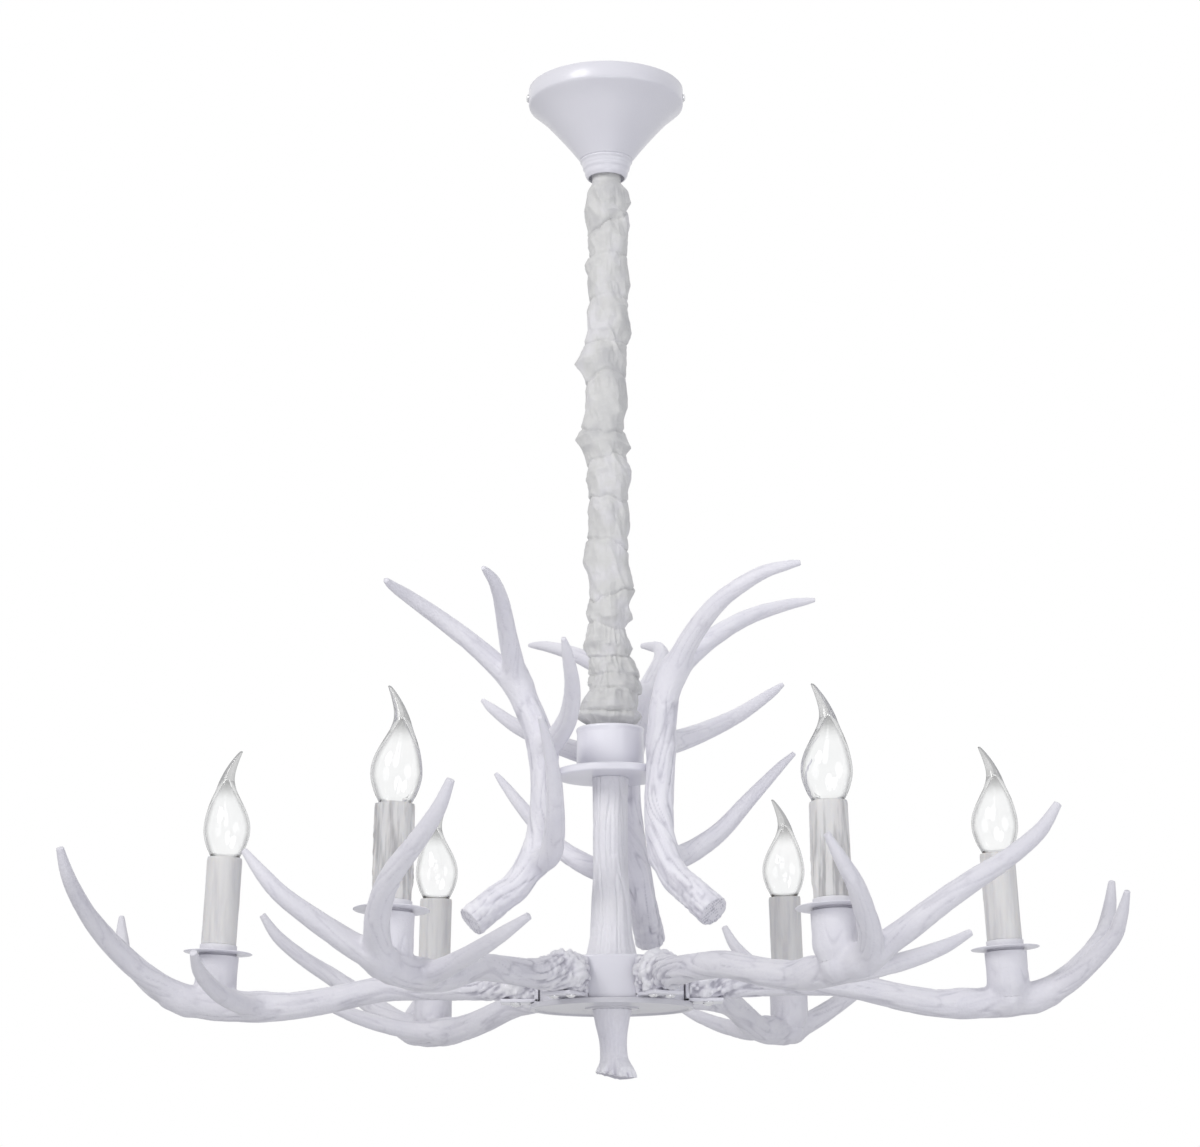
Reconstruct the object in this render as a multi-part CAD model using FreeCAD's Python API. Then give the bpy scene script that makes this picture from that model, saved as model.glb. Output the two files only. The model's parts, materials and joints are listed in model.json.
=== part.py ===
"""Antler chandelier: six resin antler arms with candle lights round a hub, three
upright antlers round a column, hung on a sleeved chain from a ceiling canopy.

Millimetres. The origin is the centre of the mounting plane on the ceiling, +Z is
up and everything hangs below it. The antler points are (outward, sideways, z) in
the plane of an arm, and (x, y, z) for the first upright antler.
"""
import FreeCAD, Part
import math
import os

V = FreeCAD.Vector
UP = V(0, 0, 1)
CENTRE = V(0, 0, 0)

# ---- driving dimensions -------------------------------------------------------
ARMS = 6                     # arms, one every 60 degrees
UPRIGHTS = 3                 # upright antlers, one every 120 degrees

CANOPY_R = 61.0              # canopy rim
CANOPY_BAND = 12.0           # straight band at the rim
CANOPY_H = 59.0              # canopy height
CANOPY_NECK_R = 20.5         # where the collar starts
SHEET = 1.0                  # canopy sheet thickness
COLLAR_BOTTOM = -74.0        # mouth of the collar
COLLAR_R = 15.0              # mouth of the collar, outside

STRAP_L = 116.0              # ceiling bracket, over its ears
STRAP_W = 22.0
STRAP_T = 2.0
CEILING_HOLES = 76.0         # between the two ceiling screws
CEILING_HOLE_R = 2.75
EAR_SCREW_Z = -6.0           # the two canopy screws
M4 = 2.0                     # thread radii
M10 = 5.0
THREAD_GAP = 0.05            # running clearance on a radius

BAR = 4.0                    # square bar of the links and rings
RING_HOLE = 6.0              # inner radius of a ring or an eye
LINK_HOLE = 6.0              # inner radius of a chain link's ends
BENDS = 4                    # bends in a half turn of bar
LINKS = 13                   # chain links, first and last in one plane
SEAT = 2.85                  # from one bar's centre up to the next link's inside
SWING_Z = -62.0              # the ceiling eye's bar, where the chain swings
TILT_Z = -494.8              # the bottom ring's lower bar, where the column tilts

CLOTH_TOP = -79.0            # fabric sleeve over the chain
CLOTH_BOTTOM = -507.0
CLOTH_BORE = 12.4
CLOTH_STEP = 22.0            # mean height of a fold
CLOTH_LOBES = 6              # folds round the sleeve

CAP_TOP = -513.0             # column cap
CAP_R = 25.5
CAP_BOTTOM = -545.0
FLANGE_R = 41.0
FLANGE_BOTTOM = -551.0
CAP_BORE = 9.0

COLUMN_R = 13.0
TRUNK_SIDES = 18
COLUMN_WAIST_Z = -623.0      # the trunk spreads below this
HUB_TOP = -688.0
HUB_R = 54.0
HUB_WALL = 3.0
DISC_R = 60.0
DISC_TOP = -719.5
DISC_BOTTOM = -723.5

ROOT_R = 57.0                # the arms' cut ends stand this far out
ROOT_Z = -702.0
ROOT_FLAT = -716.0           # flat under the root, on the bracket's leg
BRACKET_W = 24.0
LEG_OUT = 82.0
LEG_T = 2.5
ARM_SCREW_R = 71.0           # two screws under each root
ARM_SCREW_GAP = 14.0

POST = V(291.0, 0, -674.3)   # centre of the flat top of an arm's candle post
POST_TILT = 2.8              # the candle leans in, degrees
POST_R = 13.8                # spigot under the candle
PAN_SEAT = -6.5              # the drip pan's shoulder, below the post's top
PAN_R = 25.5
PAN_T = 1.4
CANDLE_R = 13.5              # candle sleeve
CANDLE_H = 65.0
CANDLE_WALL = 1.0
HOLDER_R = 12.1              # lamp holder inside it
SCREW_SHELL_R = 7.0          # the bulb's screw cap
SHELL_BORE = 7.3             # corners of the holder's bore round it
BULB_R = 17.5                # candle bulb
BULB_H = 83.0
TIP_WAYS = [180, 180, 0, 0, 180, 180]  # the way each bulb's tip bends, from +X, when screwed home

FINIAL_BOTTOM = -774.5

ANTLER_SIDES = 8             # the cast pieces are carved in flats
PEG_SIDES = 8
SCREW_SIDES = 6
FLAT_WITHIN = 1e-7           # four corners this near one plane make one flat
BULB_SIDES = 12
TURNED_SIDES = 16
HUB_SIDES = 24

# ---- antler shapes: (x, y, z, radius) -----------------------------------------
ARM_BEAM = [
    (57, 0, -702, 15.6), (70, 0, -702.5, 15.2), (84, -2, -703.5, 12.6), (103, -7, -705, 10.6),
    (135, -10, -705, 9.8), (170, -9, -706.5, 9.6), (205, -4, -714, 9.8), (237, 2, -719.5, 10.2),
    (270, 4, -720, 11.2), (300, 6, -718, 10.6), (324, 9, -712, 9.2)]
ARM_TALL = [
    (312, 6, -717, 8.8), (340, 22, -699, 8.6), (358, 37, -683, 8.0), (371, 55, -668, 7.2),
    (380, 77, -653, 6.0), (387, 98, -635, 4.4), (392.5, 112, -615, 1.6)]
ARM_INNER = [
    (314, 8, -716, 8.6), (338, -4, -704, 8.2), (364, -31, -679, 6.2),
    (370, -46, -663, 4.6), (373, -60, -646, 1.6)]
ARM_LOW = [
    (258, 4, -719, 8.6), (272, 26, -719, 7.6), (285, 55, -713, 6.4), (293, 85, -702.5, 4.8),
    (295, 110, -690.5, 1.6)]
UP_BEAM = [
    (73, -77, -661, 11.8), (58, -64.5, -645, 11.4), (45.5, -53, -631, 11.0), (36.5, -42, -604, 10.8),
    (35.6, -36.5, -574, 10.8), (37, -35.5, -545, 10.8), (38, -40, -520, 10.8),
    (41.8, -49.5, -494, 10.2), (49, -54, -476, 9.0)]
UP_TINE_1 = [
    (45, -52, -484, 9.0), (61, -75, -457, 7.8), (81, -95, -436, 6.6), (108, -109, -420.5, 5.2),
    (128, -112, -414.5, 3.6), (140, -111, -412, 1.8)]
UP_TINE_2 = [
    (47, -53, -479, 8.8), (76, -43, -453, 7.2), (104, -31, -434.5, 6.0), (130, -21, -424, 4.6),
    (147, -17, -419.8, 3.0), (155, -15.5, -418.3, 1.6)]
UP_TINE_3 = [
    (38, -35, -531, 9.4), (51, -16, -525.5, 8.4), (72, 7, -514, 7.2), (98, 25, -498.5, 5.8),
    (122, 35, -481, 4.0), (133, 38.5, -472.3, 1.8)]
UP_TINE_4 = [
    (37, -42, -616, 9.6), (54, -20, -612, 8.6), (80, -0.5, -593, 7.2), (105, 13, -565, 5.6),
    (128, 20.5, -540, 3.6), (141, 23, -527.5, 1.6)]
FINIAL = [
    (0, 0, DISC_BOTTOM, 14.5), (0, 0, -733, 12.6), (0.6, 0, -745, 10.4), (1.2, 0, -757, 10.2),
    (1.8, 0, -766, 12.2), (2.2, 0, -775.5, 14.6)]


# ---- helpers ------------------------------------------------------------------
def save(shape, node):
    """One node, as one solid or as a group of separate solids."""
    os.makedirs("parts", exist_ok=True)
    parts = shape if isinstance(shape, list) else [shape]
    solids = [solid for part in parts for solid in part.Solids]
    for solid in solids:
        assert solid.isValid(), node
    whole = solids[0] if len(solids) == 1 else Part.makeCompound(solids)
    whole.exportStep("parts/" + node + ".step")
    print("%-22s %2d solid(s) %10.1f mm3" % (node, len(solids), whole.Volume))


def rod(radius, low, high):
    return Part.makeCylinder(radius, high - low, V(0, 0, low))


def flat(*corners):
    return Part.Face(Part.makePolygon(list(corners) + [corners[0]]))


def skin(rings):
    """A closed solid of flats through rings that have the same number of corners."""
    faces = [flat(*rings[0]), flat(*rings[-1])]
    for low, high in zip(rings, rings[1:]):
        for i in range(len(low)):
            a, b, c, d = low[i - 1], low[i], high[i], high[i - 1]
            normal = (b - a).cross(c - a)
            if abs(normal.dot(d - a)) < FLAT_WITHIN * normal.Length:
                faces.append(flat(a, b, c, d))
            else:
                faces += [flat(a, b, c), flat(a, c, d)]
    shell = Part.makeShell(faces)
    shell.sewShape()
    solid = Part.makeSolid(shell)
    if solid.Volume < 0:
        solid.reverse()
    return solid


def limb(stations, sides=ANTLER_SIDES):
    """A tapered branch with flats, through a polygon square to the path at each point."""
    points = [V(x, y, z) for x, y, z, radius in stations]
    last = len(points) - 1
    rings = []
    side = None
    for i, point in enumerate(points):
        along = points[min(i + 1, last)] - points[max(i - 1, 0)]
        along.normalize()
        if side is None:
            side = along.cross(UP if abs(along.z) < 0.9 else V(0, -1, 0))
        side = side - along * side.dot(along)
        side.normalize()
        rise = along.cross(side)
        angles = [2 * math.pi * corner / sides for corner in range(sides)]
        rings.append([point + (side * math.cos(a) + rise * math.sin(a)) * stations[i][3] for a in angles])
    return skin(rings)


def stack(profile, sides):
    """A turned shape with flats, through (radius, z) rings about Z."""
    return limb([(0, 0, z, radius) for radius, z in profile], sides)


def peg(radius, low, high, sides=PEG_SIDES):
    return stack([(radius, low), (radius, high)], sides)


def aimed(shape, tilt):
    """Turned about Y, from lying along +Z to lying the given angle towards +X."""
    copy = shape.copy()
    copy.rotate(CENTRE, V(0, 1, 0), tilt)
    return copy


def block(x0, x1, y0, y1, z0, z1):
    return Part.makeBox(x1 - x0, y1 - y0, z1 - z0, V(x0, y0, z0))


def hexagon(flats, low, high):
    corner = flats / 2 / math.cos(math.pi / 6)
    points = [V(corner * math.cos(math.radians(60 * i)), corner * math.sin(math.radians(60 * i)), low)
              for i in range(7)]
    return Part.Face(Part.makePolygon(points)).extrude(V(0, 0, high - low))


def spun(shape, degrees):
    """A copy turned about the vertical through the origin."""
    copy = shape.copy()
    copy.rotate(CENTRE, UP, degrees)
    return copy


def antler(*limbs):
    """Beam and tines grown together."""
    whole = limb(limbs[0])
    for stations in limbs[1:]:
        whole = whole.fuse(limb(stations))
    return whole.removeSplitter()


def ring_bar(hole, inside, z_hole, turn):
    """A link of square bar in a vertical plane: straight sides and two bent ends.

    inside is its inner length, z_hole the centre of its upper end, and turn the
    angle of its plane about the vertical.
    """
    sides = inside - 2 * hole

    def outline(radius):
        corner = radius / math.cos(math.pi / BENDS / 2)
        points = []
        for step in range(2 * BENDS):
            angle = math.pi * (step + 0.5) / BENDS
            drop = sides if step >= BENDS else 0
            points.append(V(corner * math.cos(angle), 0, z_hole + corner * math.sin(angle) - drop))
        return flat(*points).extrude(V(0, BAR, 0))

    link = outline(hole + BAR).cut(outline(hole))
    return spun(link.translated(V(0, -BAR / 2, 0)), turn)


def ring(z_upper_bar, turn):
    """A round ring hung on a bar whose centre is at z_upper_bar."""
    return ring_bar(RING_HOLE, 2 * RING_HOLE, z_upper_bar + SEAT - RING_HOLE, turn)


def lower_bar(z_upper_bar, inside):
    """Centre of a link's lower bar, when it hangs on a bar at z_upper_bar."""
    return z_upper_bar + SEAT - inside - BAR / 2


# ---- ceiling ------------------------------------------------------------------
def ceiling_bracket():
    half = STRAP_L / 2
    strap = block(-half, half, -STRAP_W / 2, STRAP_W / 2, -STRAP_T, 0)
    ears = [block(x, x + STRAP_T, -STRAP_W / 4, STRAP_W / 4, 2 * EAR_SCREW_Z + STRAP_T, 0)
            for x in (-half, half - STRAP_T)]
    boss = hexagon(16, -10, 0)
    bracket = strap.fuse(ears + [boss]).removeSplitter()
    for x in (-CEILING_HOLES / 2, CEILING_HOLES / 2):
        bracket = bracket.cut(Part.makeCylinder(CEILING_HOLE_R, 3 * STRAP_T, V(x, 0, -2 * STRAP_T)))
    bracket = bracket.cut(peg(M10, -11, -STRAP_T)).cut(peg(M10 - 2, -11, 1))
    across = aimed(peg(M4, -half - 5, half + 5, SCREW_SIDES), 90)
    return bracket.cut(across.translated(V(0, 0, EAR_SCREW_Z)))


def canopy_screws():
    screws = []
    for side in (-1, 1):
        shank = peg(M4, CANOPY_R - 8, CANOPY_R, SCREW_SIDES)
        head = stack([(3.6, CANOPY_R), (2.4, CANOPY_R + 2)], SCREW_SIDES)
        screws.append(aimed(shank.fuse(head), side * 90).translated(V(0, 0, EAR_SCREW_Z)))
    return screws


def canopy():
    """Spun steel cone with a straight band, a drawn-in flank and a neck hole."""
    flank = [(51, -22), (41.5, -32.5), (31, -45)]
    outside = [(CANOPY_R, 0), (CANOPY_R, -CANOPY_BAND)] + flank + [(CANOPY_NECK_R, -CANOPY_H)]
    inside = [(CANOPY_R - SHEET, 1), (CANOPY_R - SHEET, -CANOPY_BAND + SHEET / 2)]
    inside += [(r - SHEET * 1.2, z + SHEET * 0.6) for r, z in flank]
    inside += [(CANOPY_NECK_R - SHEET * 0.6, -CANOPY_H + SHEET)]
    shell = stack(outside, HUB_SIDES).cut(stack(inside, HUB_SIDES))
    shell = shell.cut(peg(CANOPY_NECK_R - 3, -CANOPY_H - 1, -CANOPY_H + 5, TURNED_SIDES))
    hole = aimed(peg(M4 + 0.2, -CANOPY_R - 5, CANOPY_R + 5, SCREW_SIDES), 90)
    return shell.cut(hole.translated(V(0, 0, EAR_SCREW_Z)))


def canopy_collar():
    """Ferrule that rims the neck and lets the sleeved chain out."""
    neck = CANOPY_NECK_R - 3
    top = -CANOPY_H
    outside = stack([(CANOPY_NECK_R, top), (COLLAR_R + 0.6, COLLAR_BOTTOM + 2), (COLLAR_R, COLLAR_BOTTOM)],
                    TURNED_SIDES)
    inside = stack([(neck - 1.5, top + 6), (neck - 1.5, top), (COLLAR_R - 1, COLLAR_BOTTOM - 1)],
                   TURNED_SIDES)
    return outside.fuse(peg(neck, top - 1, top + 5, TURNED_SIDES)).cut(inside).removeSplitter()


def ceiling_eye():
    """Eye on a threaded stem; its lower bar is the pivot that the chain swings on."""
    hole_z = SWING_Z + RING_HOLE + BAR / 2
    stem = peg(M10, -48, -STRAP_T).cut(peg(M10 - 2, -42, 0))
    socket = peg(7, hole_z + RING_HOLE + 1, -42)
    return stem.fuse([socket, ring_bar(RING_HOLE, 2 * RING_HOLE, hole_z, 0)]).removeSplitter()


# ---- chain and sleeve ---------------------------------------------------------
RING_STEP = SWING_Z - lower_bar(SWING_Z, 2 * RING_HOLE)
CHAIN_TOP = SWING_Z - RING_STEP
CHAIN_FOOT = TILT_Z + RING_STEP
LINK_INSIDE = (CHAIN_TOP - CHAIN_FOOT) / LINKS + SEAT - BAR / 2


def chain():
    links = []
    hook = CHAIN_TOP
    for number in range(LINKS):
        links.append(ring_bar(LINK_HOLE, LINK_INSIDE, hook + SEAT - LINK_HOLE, 90 * (number % 2)))
        hook = lower_bar(hook, LINK_INSIDE)
    return links


def cloth_sleeve():
    """Gathered fabric: folds swell, pinch and twist differently at each height."""
    count = round((CLOTH_TOP - CLOTH_BOTTOM) / CLOTH_STEP)
    points = 2 * CLOTH_LOBES
    rings = []
    for level in range(count + 1):
        z = CLOTH_TOP + (CLOTH_BOTTOM - CLOTH_TOP) * level / count
        swell = 15.6 + 1.5 * math.sin(2.3 * level) + 0.8 * math.sin(5.1 * level + 1)
        depth = 0.1
        if level in (0, count):
            swell = 13.6
            depth = 0.04
        corners = []
        for number in range(points):
            angle = 2 * math.pi * number / points + 0.25 * math.sin(1.7 * level)
            fold = depth * (1 if number % 2 else -1) + 0.08 * math.sin(1.3 * number + 1.9 * level)
            reach = max(swell * (1 + fold), CLOTH_BORE + 1.2)
            corners.append(V(reach * math.cos(angle), reach * math.sin(angle), z))
        rings.append(corners)
    return skin(rings).cut(peg(CLOTH_BORE, CLOTH_BOTTOM - 1, CLOTH_TOP + 1))


def column_eye():
    """Swivel eye: the shank turns in the cap and is riveted over inside it."""
    hole_z = TILT_Z + SEAT - RING_HOLE
    eye = ring_bar(RING_HOLE, 2 * RING_HOLE, hole_z, 0)
    neck = peg(6, CAP_TOP + 1.5, hole_z - RING_HOLE - 1)
    collar = peg(7.5, CAP_TOP + 0.3, CAP_TOP + 2.5)
    shank = peg(M10, CAP_TOP - 12, CAP_TOP + 2)
    rivet = peg(8, CAP_TOP - 12, CAP_TOP - 8)
    return eye.fuse([neck, collar, shank, rivet]).removeSplitter()


# ---- column and hub -----------------------------------------------------------
def column_cap():
    shell = stack([(CAP_R - 1.5, CAP_TOP), (CAP_R, CAP_TOP - 2), (CAP_R, CAP_BOTTOM)], HUB_SIDES)
    flange = stack([(FLANGE_R - 1, CAP_BOTTOM), (FLANGE_R, CAP_BOTTOM - 1), (FLANGE_R, FLANGE_BOTTOM)],
                   HUB_SIDES)
    shell = shell.fuse(flange).removeSplitter()
    shell = shell.cut(peg(CAP_BORE, FLANGE_BOTTOM - 1, CAP_TOP - 7, TURNED_SIDES))
    shell = shell.cut(rod(M10 + THREAD_GAP, CAP_TOP - 8, 0))
    for number in range(UPRIGHTS):
        shell = shell.cut(spun(upright_bolt(M4, UP_BOLT_FOOT, FLANGE_R + 1), 120 * number))
    return shell


def column():
    """Resin trunk, waisted and spread at its foot."""
    trunk = stack([(COLUMN_R + 0.5, FLANGE_BOTTOM), (COLUMN_R, COLUMN_WAIST_Z),
                   (COLUMN_R + 1.3, COLUMN_WAIST_Z - 17), (COLUMN_R + 3, COLUMN_WAIST_Z - 47),
                   (COLUMN_R + 7, HUB_TOP)], TRUNK_SIDES)
    return trunk.cut(peg(M10 + 0.3, HUB_TOP - 1, FLANGE_BOTTOM + 1))


def centre_rod():
    return peg(M10, -745, -534)


def rod_nuts():
    """Round nut in the cap above the column, hexagon nut under the disc."""
    upper = peg(CAP_BORE, -548, -536, TURNED_SIDES).cut(peg(M10, -549, -535))
    lower = hexagon(16, DISC_BOTTOM - 7, DISC_BOTTOM).cut(peg(M10, DISC_BOTTOM - 8, 0))
    return [upper, lower]


def hub_drum():
    outer = peg(HUB_R, DISC_TOP, HUB_TOP, HUB_SIDES)
    inner = peg(HUB_R - HUB_WALL, DISC_TOP - 1, HUB_TOP - HUB_WALL, HUB_SIDES)
    return outer.cut(inner).cut(peg(M10 + 0.2, HUB_TOP - 5, HUB_TOP + 1))


def hub_disc():
    """Bottom plate with a thin rim that stands round a shallow recess."""
    plate = stack([(DISC_R - 1, DISC_TOP), (DISC_R, DISC_TOP - 1), (DISC_R, DISC_BOTTOM)], HUB_SIDES)
    recess = peg(DISC_R - 3, DISC_BOTTOM - 1, DISC_BOTTOM + 1.2, HUB_SIDES)
    boss = peg(20, DISC_BOTTOM - 2, DISC_BOTTOM + 2, TURNED_SIDES)
    return plate.cut(recess.cut(boss)).cut(peg(M10 + 0.2, DISC_BOTTOM - 1, DISC_TOP + 1))


def finial():
    """Cut antler stub, drilled for the rod end, with a slanted rough foot."""
    stub = limb(FINIAL, PEG_SIDES)
    slant = aimed(block(-40, 40, -40, 40, -30, 0), -12)
    stub = stub.cut(slant.translated(V(0, 0, FINIAL_BOTTOM + 3)))
    stub = stub.cut(peg(M10, -745, -700)).cut(hexagon(16.2, DISC_BOTTOM - 7, DISC_BOTTOM + 1))
    return stub.cut(peg(1.6, -790, -760, SCREW_SIDES).translated(V(8, -3, 0)))


# ---- arms ---------------------------------------------------------------------
def on_post(shape):
    """From the candle's own frame, Z along the candle, to the top of the first arm's post."""
    return aimed(shape, -POST_TILT).translated(POST)


def arm():
    body = antler(ARM_BEAM, ARM_TALL, ARM_INNER, ARM_LOW)
    stem = stack([(11, -42), (15, -33), (15.4, -20), (POST_R + 1.8, PAN_SEAT)], BULB_SIDES)
    spigot = peg(POST_R, PAN_SEAT - 1, 0, BULB_SIDES)
    body = body.fuse([on_post(stem), on_post(spigot)]).removeSplitter()
    body = body.cut(on_post(peg(M10, -22, 1)))
    body = body.cut(block(ROOT_R - 20, ROOT_R, -30, 30, ROOT_Z - 30, ROOT_Z + 30))
    body = body.cut(block(ROOT_R - 1, LEG_OUT, -30, 30, ROOT_FLAT - 20, ROOT_FLAT))
    for side in (-1, 1):
        body = body.cut(at_arm_screw(peg(M4, -2, 10.5, SCREW_SIDES), side))
    return body


def at_arm_screw(shape, side):
    """From the screw's own frame, Z up it, to one of the two screws of the first arm."""
    return shape.translated(V(ARM_SCREW_R, side * ARM_SCREW_GAP / 2, ROOT_FLAT))


def arm_bracket():
    """Steel angle: its upright stands against the drum, its leg under the root."""
    half = BRACKET_W / 2
    upright = block(HUB_R, ROOT_R, -half, half, DISC_TOP, ROOT_Z + 12)
    leg = block(HUB_R, LEG_OUT, -half, half, ROOT_FLAT - LEG_T, ROOT_FLAT)
    angle = upright.fuse(leg).removeSplitter()
    for side in (-1, 1):
        angle = angle.cut(at_arm_screw(peg(M4, -5, 5, SCREW_SIDES), side))
    return angle


def arm_screws():
    shank = peg(M4, -LEG_T, 10.5, SCREW_SIDES)
    head = stack([(3.8, -LEG_T), (3.0, -LEG_T - 2.0)], SCREW_SIDES)
    return [at_arm_screw(shank.fuse(head), side) for side in (-1, 1)]


def drip_pan():
    """Thin disc that slips over the post's spigot on to its shoulder."""
    pan = stack([(PAN_R - 0.8, PAN_SEAT), (PAN_R, PAN_SEAT + PAN_T / 2), (PAN_R - 0.8, PAN_SEAT + PAN_T)],
                TURNED_SIDES)
    return pan.cut(peg(POST_R + 0.1, PAN_SEAT - 1, PAN_SEAT + 3, BULB_SIDES))


def candle_sleeve():
    inside = peg(CANDLE_R - CANDLE_WALL, -1, CANDLE_H + 1, TURNED_SIDES)
    return peg(CANDLE_R, 0, CANDLE_H, TURNED_SIDES).cut(inside)


HOLDER_TOP = CANDLE_H - 2.0
CAP_LENGTH = 25.0
NIPPLE_TOP = 24.0


def lamp_holder():
    foot = peg(7.5, 12, 28, BULB_SIDES)
    body = foot.fuse(stack([(HOLDER_R - 2, 26), (HOLDER_R, 29), (HOLDER_R, HOLDER_TOP)], BULB_SIDES))
    bore = peg(SHELL_BORE, HOLDER_TOP - CAP_LENGTH - 1.5, HOLDER_TOP + 1, BULB_SIDES)
    return body.cut(bore).cut(peg(M10, 11, NIPPLE_TOP)).removeSplitter()


def lamp_nipple():
    return peg(M10, -20, NIPPLE_TOP).cut(peg(M10 - 1.5, -21, NIPPLE_TOP + 1))


BULB_FOOT = HOLDER_TOP + 0.3


def bulb_cap():
    """Screw cap with its insulator and centre contact."""
    foot = BULB_FOOT - CAP_LENGTH
    return stack([(2.4, foot), (3.6, foot + 2.6), (SCREW_SHELL_R, foot + 5), (SCREW_SHELL_R, BULB_FOOT)],
                 BULB_SIDES)


def bulb_glass():
    """Blown candle bulb: a flame shape whose tip is drawn out and bent over."""
    outline = [(9.8, 0), (11, 5), (14, 11), (16.8, 19), (BULB_R, 27), (16.6, 36), (14, 46),
               (10.4, 56), (7.0, 65)]
    void = [(9.4, 5), (15.8, 24), (5, 62)]
    tail = [(0, 0, 62, 7.6), (0.6, 0, 67, 5.8), (2.2, 0, 72.5, 4.0), (5.2, 0, 78, 2.5), (8.5, 0, BULB_H, 1.0)]
    glass = stack(outline, BULB_SIDES).fuse(limb(tail)).removeSplitter()
    return glass.cut(stack(void, PEG_SIDES)).translated(V(0, 0, BULB_FOOT))


# ---- upright antlers ----------------------------------------------------------
UP_AZIMUTH = math.degrees(math.atan2(-36, 37))
UP_BOLT_Z = -548.0
UP_BOLT_FOOT = 28.0          # from the axis to the blind end of its hole
UP_BOLT_HEAD = 57.0          # from the axis to the seat of the sunk head


def upright_bolt(radius, start, end):
    """A radial peg through the flange and the first upright antler's beam."""
    bolt = aimed(peg(radius, start, end, SCREW_SIDES), 90)
    return spun(bolt.translated(V(0, 0, UP_BOLT_Z)), UP_AZIMUTH)


def upright_antler():
    body = antler(UP_BEAM, UP_TINE_1, UP_TINE_2, UP_TINE_3, UP_TINE_4)
    body = body.cut(peg(FLANGE_R, FLANGE_BOTTOM, CAP_BOTTOM, HUB_SIDES))
    return body.cut(upright_bolt(M4 + 0.2, 20, 80)).cut(upright_bolt(3.9, UP_BOLT_HEAD, 80))


def upright_screw():
    shank = upright_bolt(M4, UP_BOLT_FOOT + 2, UP_BOLT_HEAD + 1)
    return shank.fuse(upright_bolt(3.7, UP_BOLT_HEAD, UP_BOLT_HEAD + 3))


# ---- build --------------------------------------------------------------------
save(ceiling_bracket(), "ceiling_bracket")
save(canopy_screws(), "canopy_screws")
save(canopy(), "canopy")
save(canopy_collar(), "canopy_collar")
save(ceiling_eye(), "ceiling_eye")
save(ring(SWING_Z, 90), "top_ring")
save(chain(), "chain")
save(cloth_sleeve(), "cloth_sleeve")
save(ring(CHAIN_FOOT, 90), "bottom_ring")
save(column_eye(), "column_eye")
save(column_cap(), "column_cap")
save(column(), "column")
save(centre_rod(), "centre_rod")
save(rod_nuts(), "rod_nuts")
save(hub_drum(), "hub_drum")
save(hub_disc(), "hub_disc")
save(finial(), "finial")

first_arm = arm()
first_upright = upright_antler()
on_first_post = {"drip_pan": drip_pan(), "candle_sleeve": candle_sleeve(), "lamp_holder": lamp_holder(),
                 "bulb_cap": bulb_cap()}
glass = bulb_glass()
for number in range(ARMS):
    turn = 360 / ARMS * number
    save(spun(first_arm, turn), "arm_antler_%d" % (number + 1))
    for name, piece in on_first_post.items():
        save(spun(on_post(piece), turn), "%s_%d" % (name, number + 1))
    save(spun(on_post(spun(glass, TIP_WAYS[number] - turn)), turn), "bulb_glass_%d" % (number + 1))
arm_turns = [360 / ARMS * number for number in range(ARMS)]
save([spun(arm_bracket(), turn) for turn in arm_turns], "arm_brackets")
save([spun(screw, turn) for turn in arm_turns for screw in arm_screws()], "arm_screws")
save([spun(on_post(lamp_nipple()), turn) for turn in arm_turns], "lamp_nipples")

upright_turns = [360 / UPRIGHTS * number for number in range(UPRIGHTS)]
for number, turn in enumerate(upright_turns):
    save(spun(first_upright, turn), "upright_antler_%d" % (number + 1))
save([spun(upright_screw(), turn) for turn in upright_turns], "upright_screws")
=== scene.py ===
"""Antler chandelier: the looks. Lengths are millimetres here and become metres in the meshes."""
import json
import math

import bmesh
import bpy
import numpy as np
from mathutils import Euler, Matrix, Vector


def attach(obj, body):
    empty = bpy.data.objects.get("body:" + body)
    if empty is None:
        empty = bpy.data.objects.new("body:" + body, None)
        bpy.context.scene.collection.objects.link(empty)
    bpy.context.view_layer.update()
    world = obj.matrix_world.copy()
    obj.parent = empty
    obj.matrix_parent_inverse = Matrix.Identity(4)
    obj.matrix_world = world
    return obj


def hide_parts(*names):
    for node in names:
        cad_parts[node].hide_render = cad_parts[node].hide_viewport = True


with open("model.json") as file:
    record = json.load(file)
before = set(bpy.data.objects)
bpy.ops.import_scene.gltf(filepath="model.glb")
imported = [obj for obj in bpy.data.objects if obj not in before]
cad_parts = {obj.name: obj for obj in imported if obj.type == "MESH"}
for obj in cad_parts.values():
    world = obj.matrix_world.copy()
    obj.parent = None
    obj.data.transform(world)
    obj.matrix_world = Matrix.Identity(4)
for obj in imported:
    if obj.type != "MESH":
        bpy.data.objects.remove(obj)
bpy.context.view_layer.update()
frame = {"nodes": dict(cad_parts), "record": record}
MM = 0.001

# ---- driving dimensions, as in the model -----------------
ARMS = 6
UPRIGHTS = 3
POST = Vector((291.0, 0, -674.3))
POST_TILT = math.radians(2.8)
PAN_SEAT = -6.5
SPIGOT_R = 13.8
CANDLE_H = 65.0
BULB_FOOT = 63.3
TIP_WAYS = [180, 180, 0, 0, 180, 180]
ROOT_R = 57.0
ROOT_FLAT = -716.0
LEG_OUT = 82.0
LEG_THICK = 2.5
LEG_HALF = 12.0
BORE = 5.2                   # clear of the centre rod and the lamp nipples
DISC_BOTTOM = -723.5
FINIAL_BOTTOM = -774.5

# ceiling end
CANOPY_R = 61.0
CANOPY_BAND = 12.0
CANOPY_H = 59.0
NECK_R = 20.5
SHEET = 1.0
EAR_SCREW_Z = -6.0
COLLAR_BOTTOM = -74.0

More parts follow.
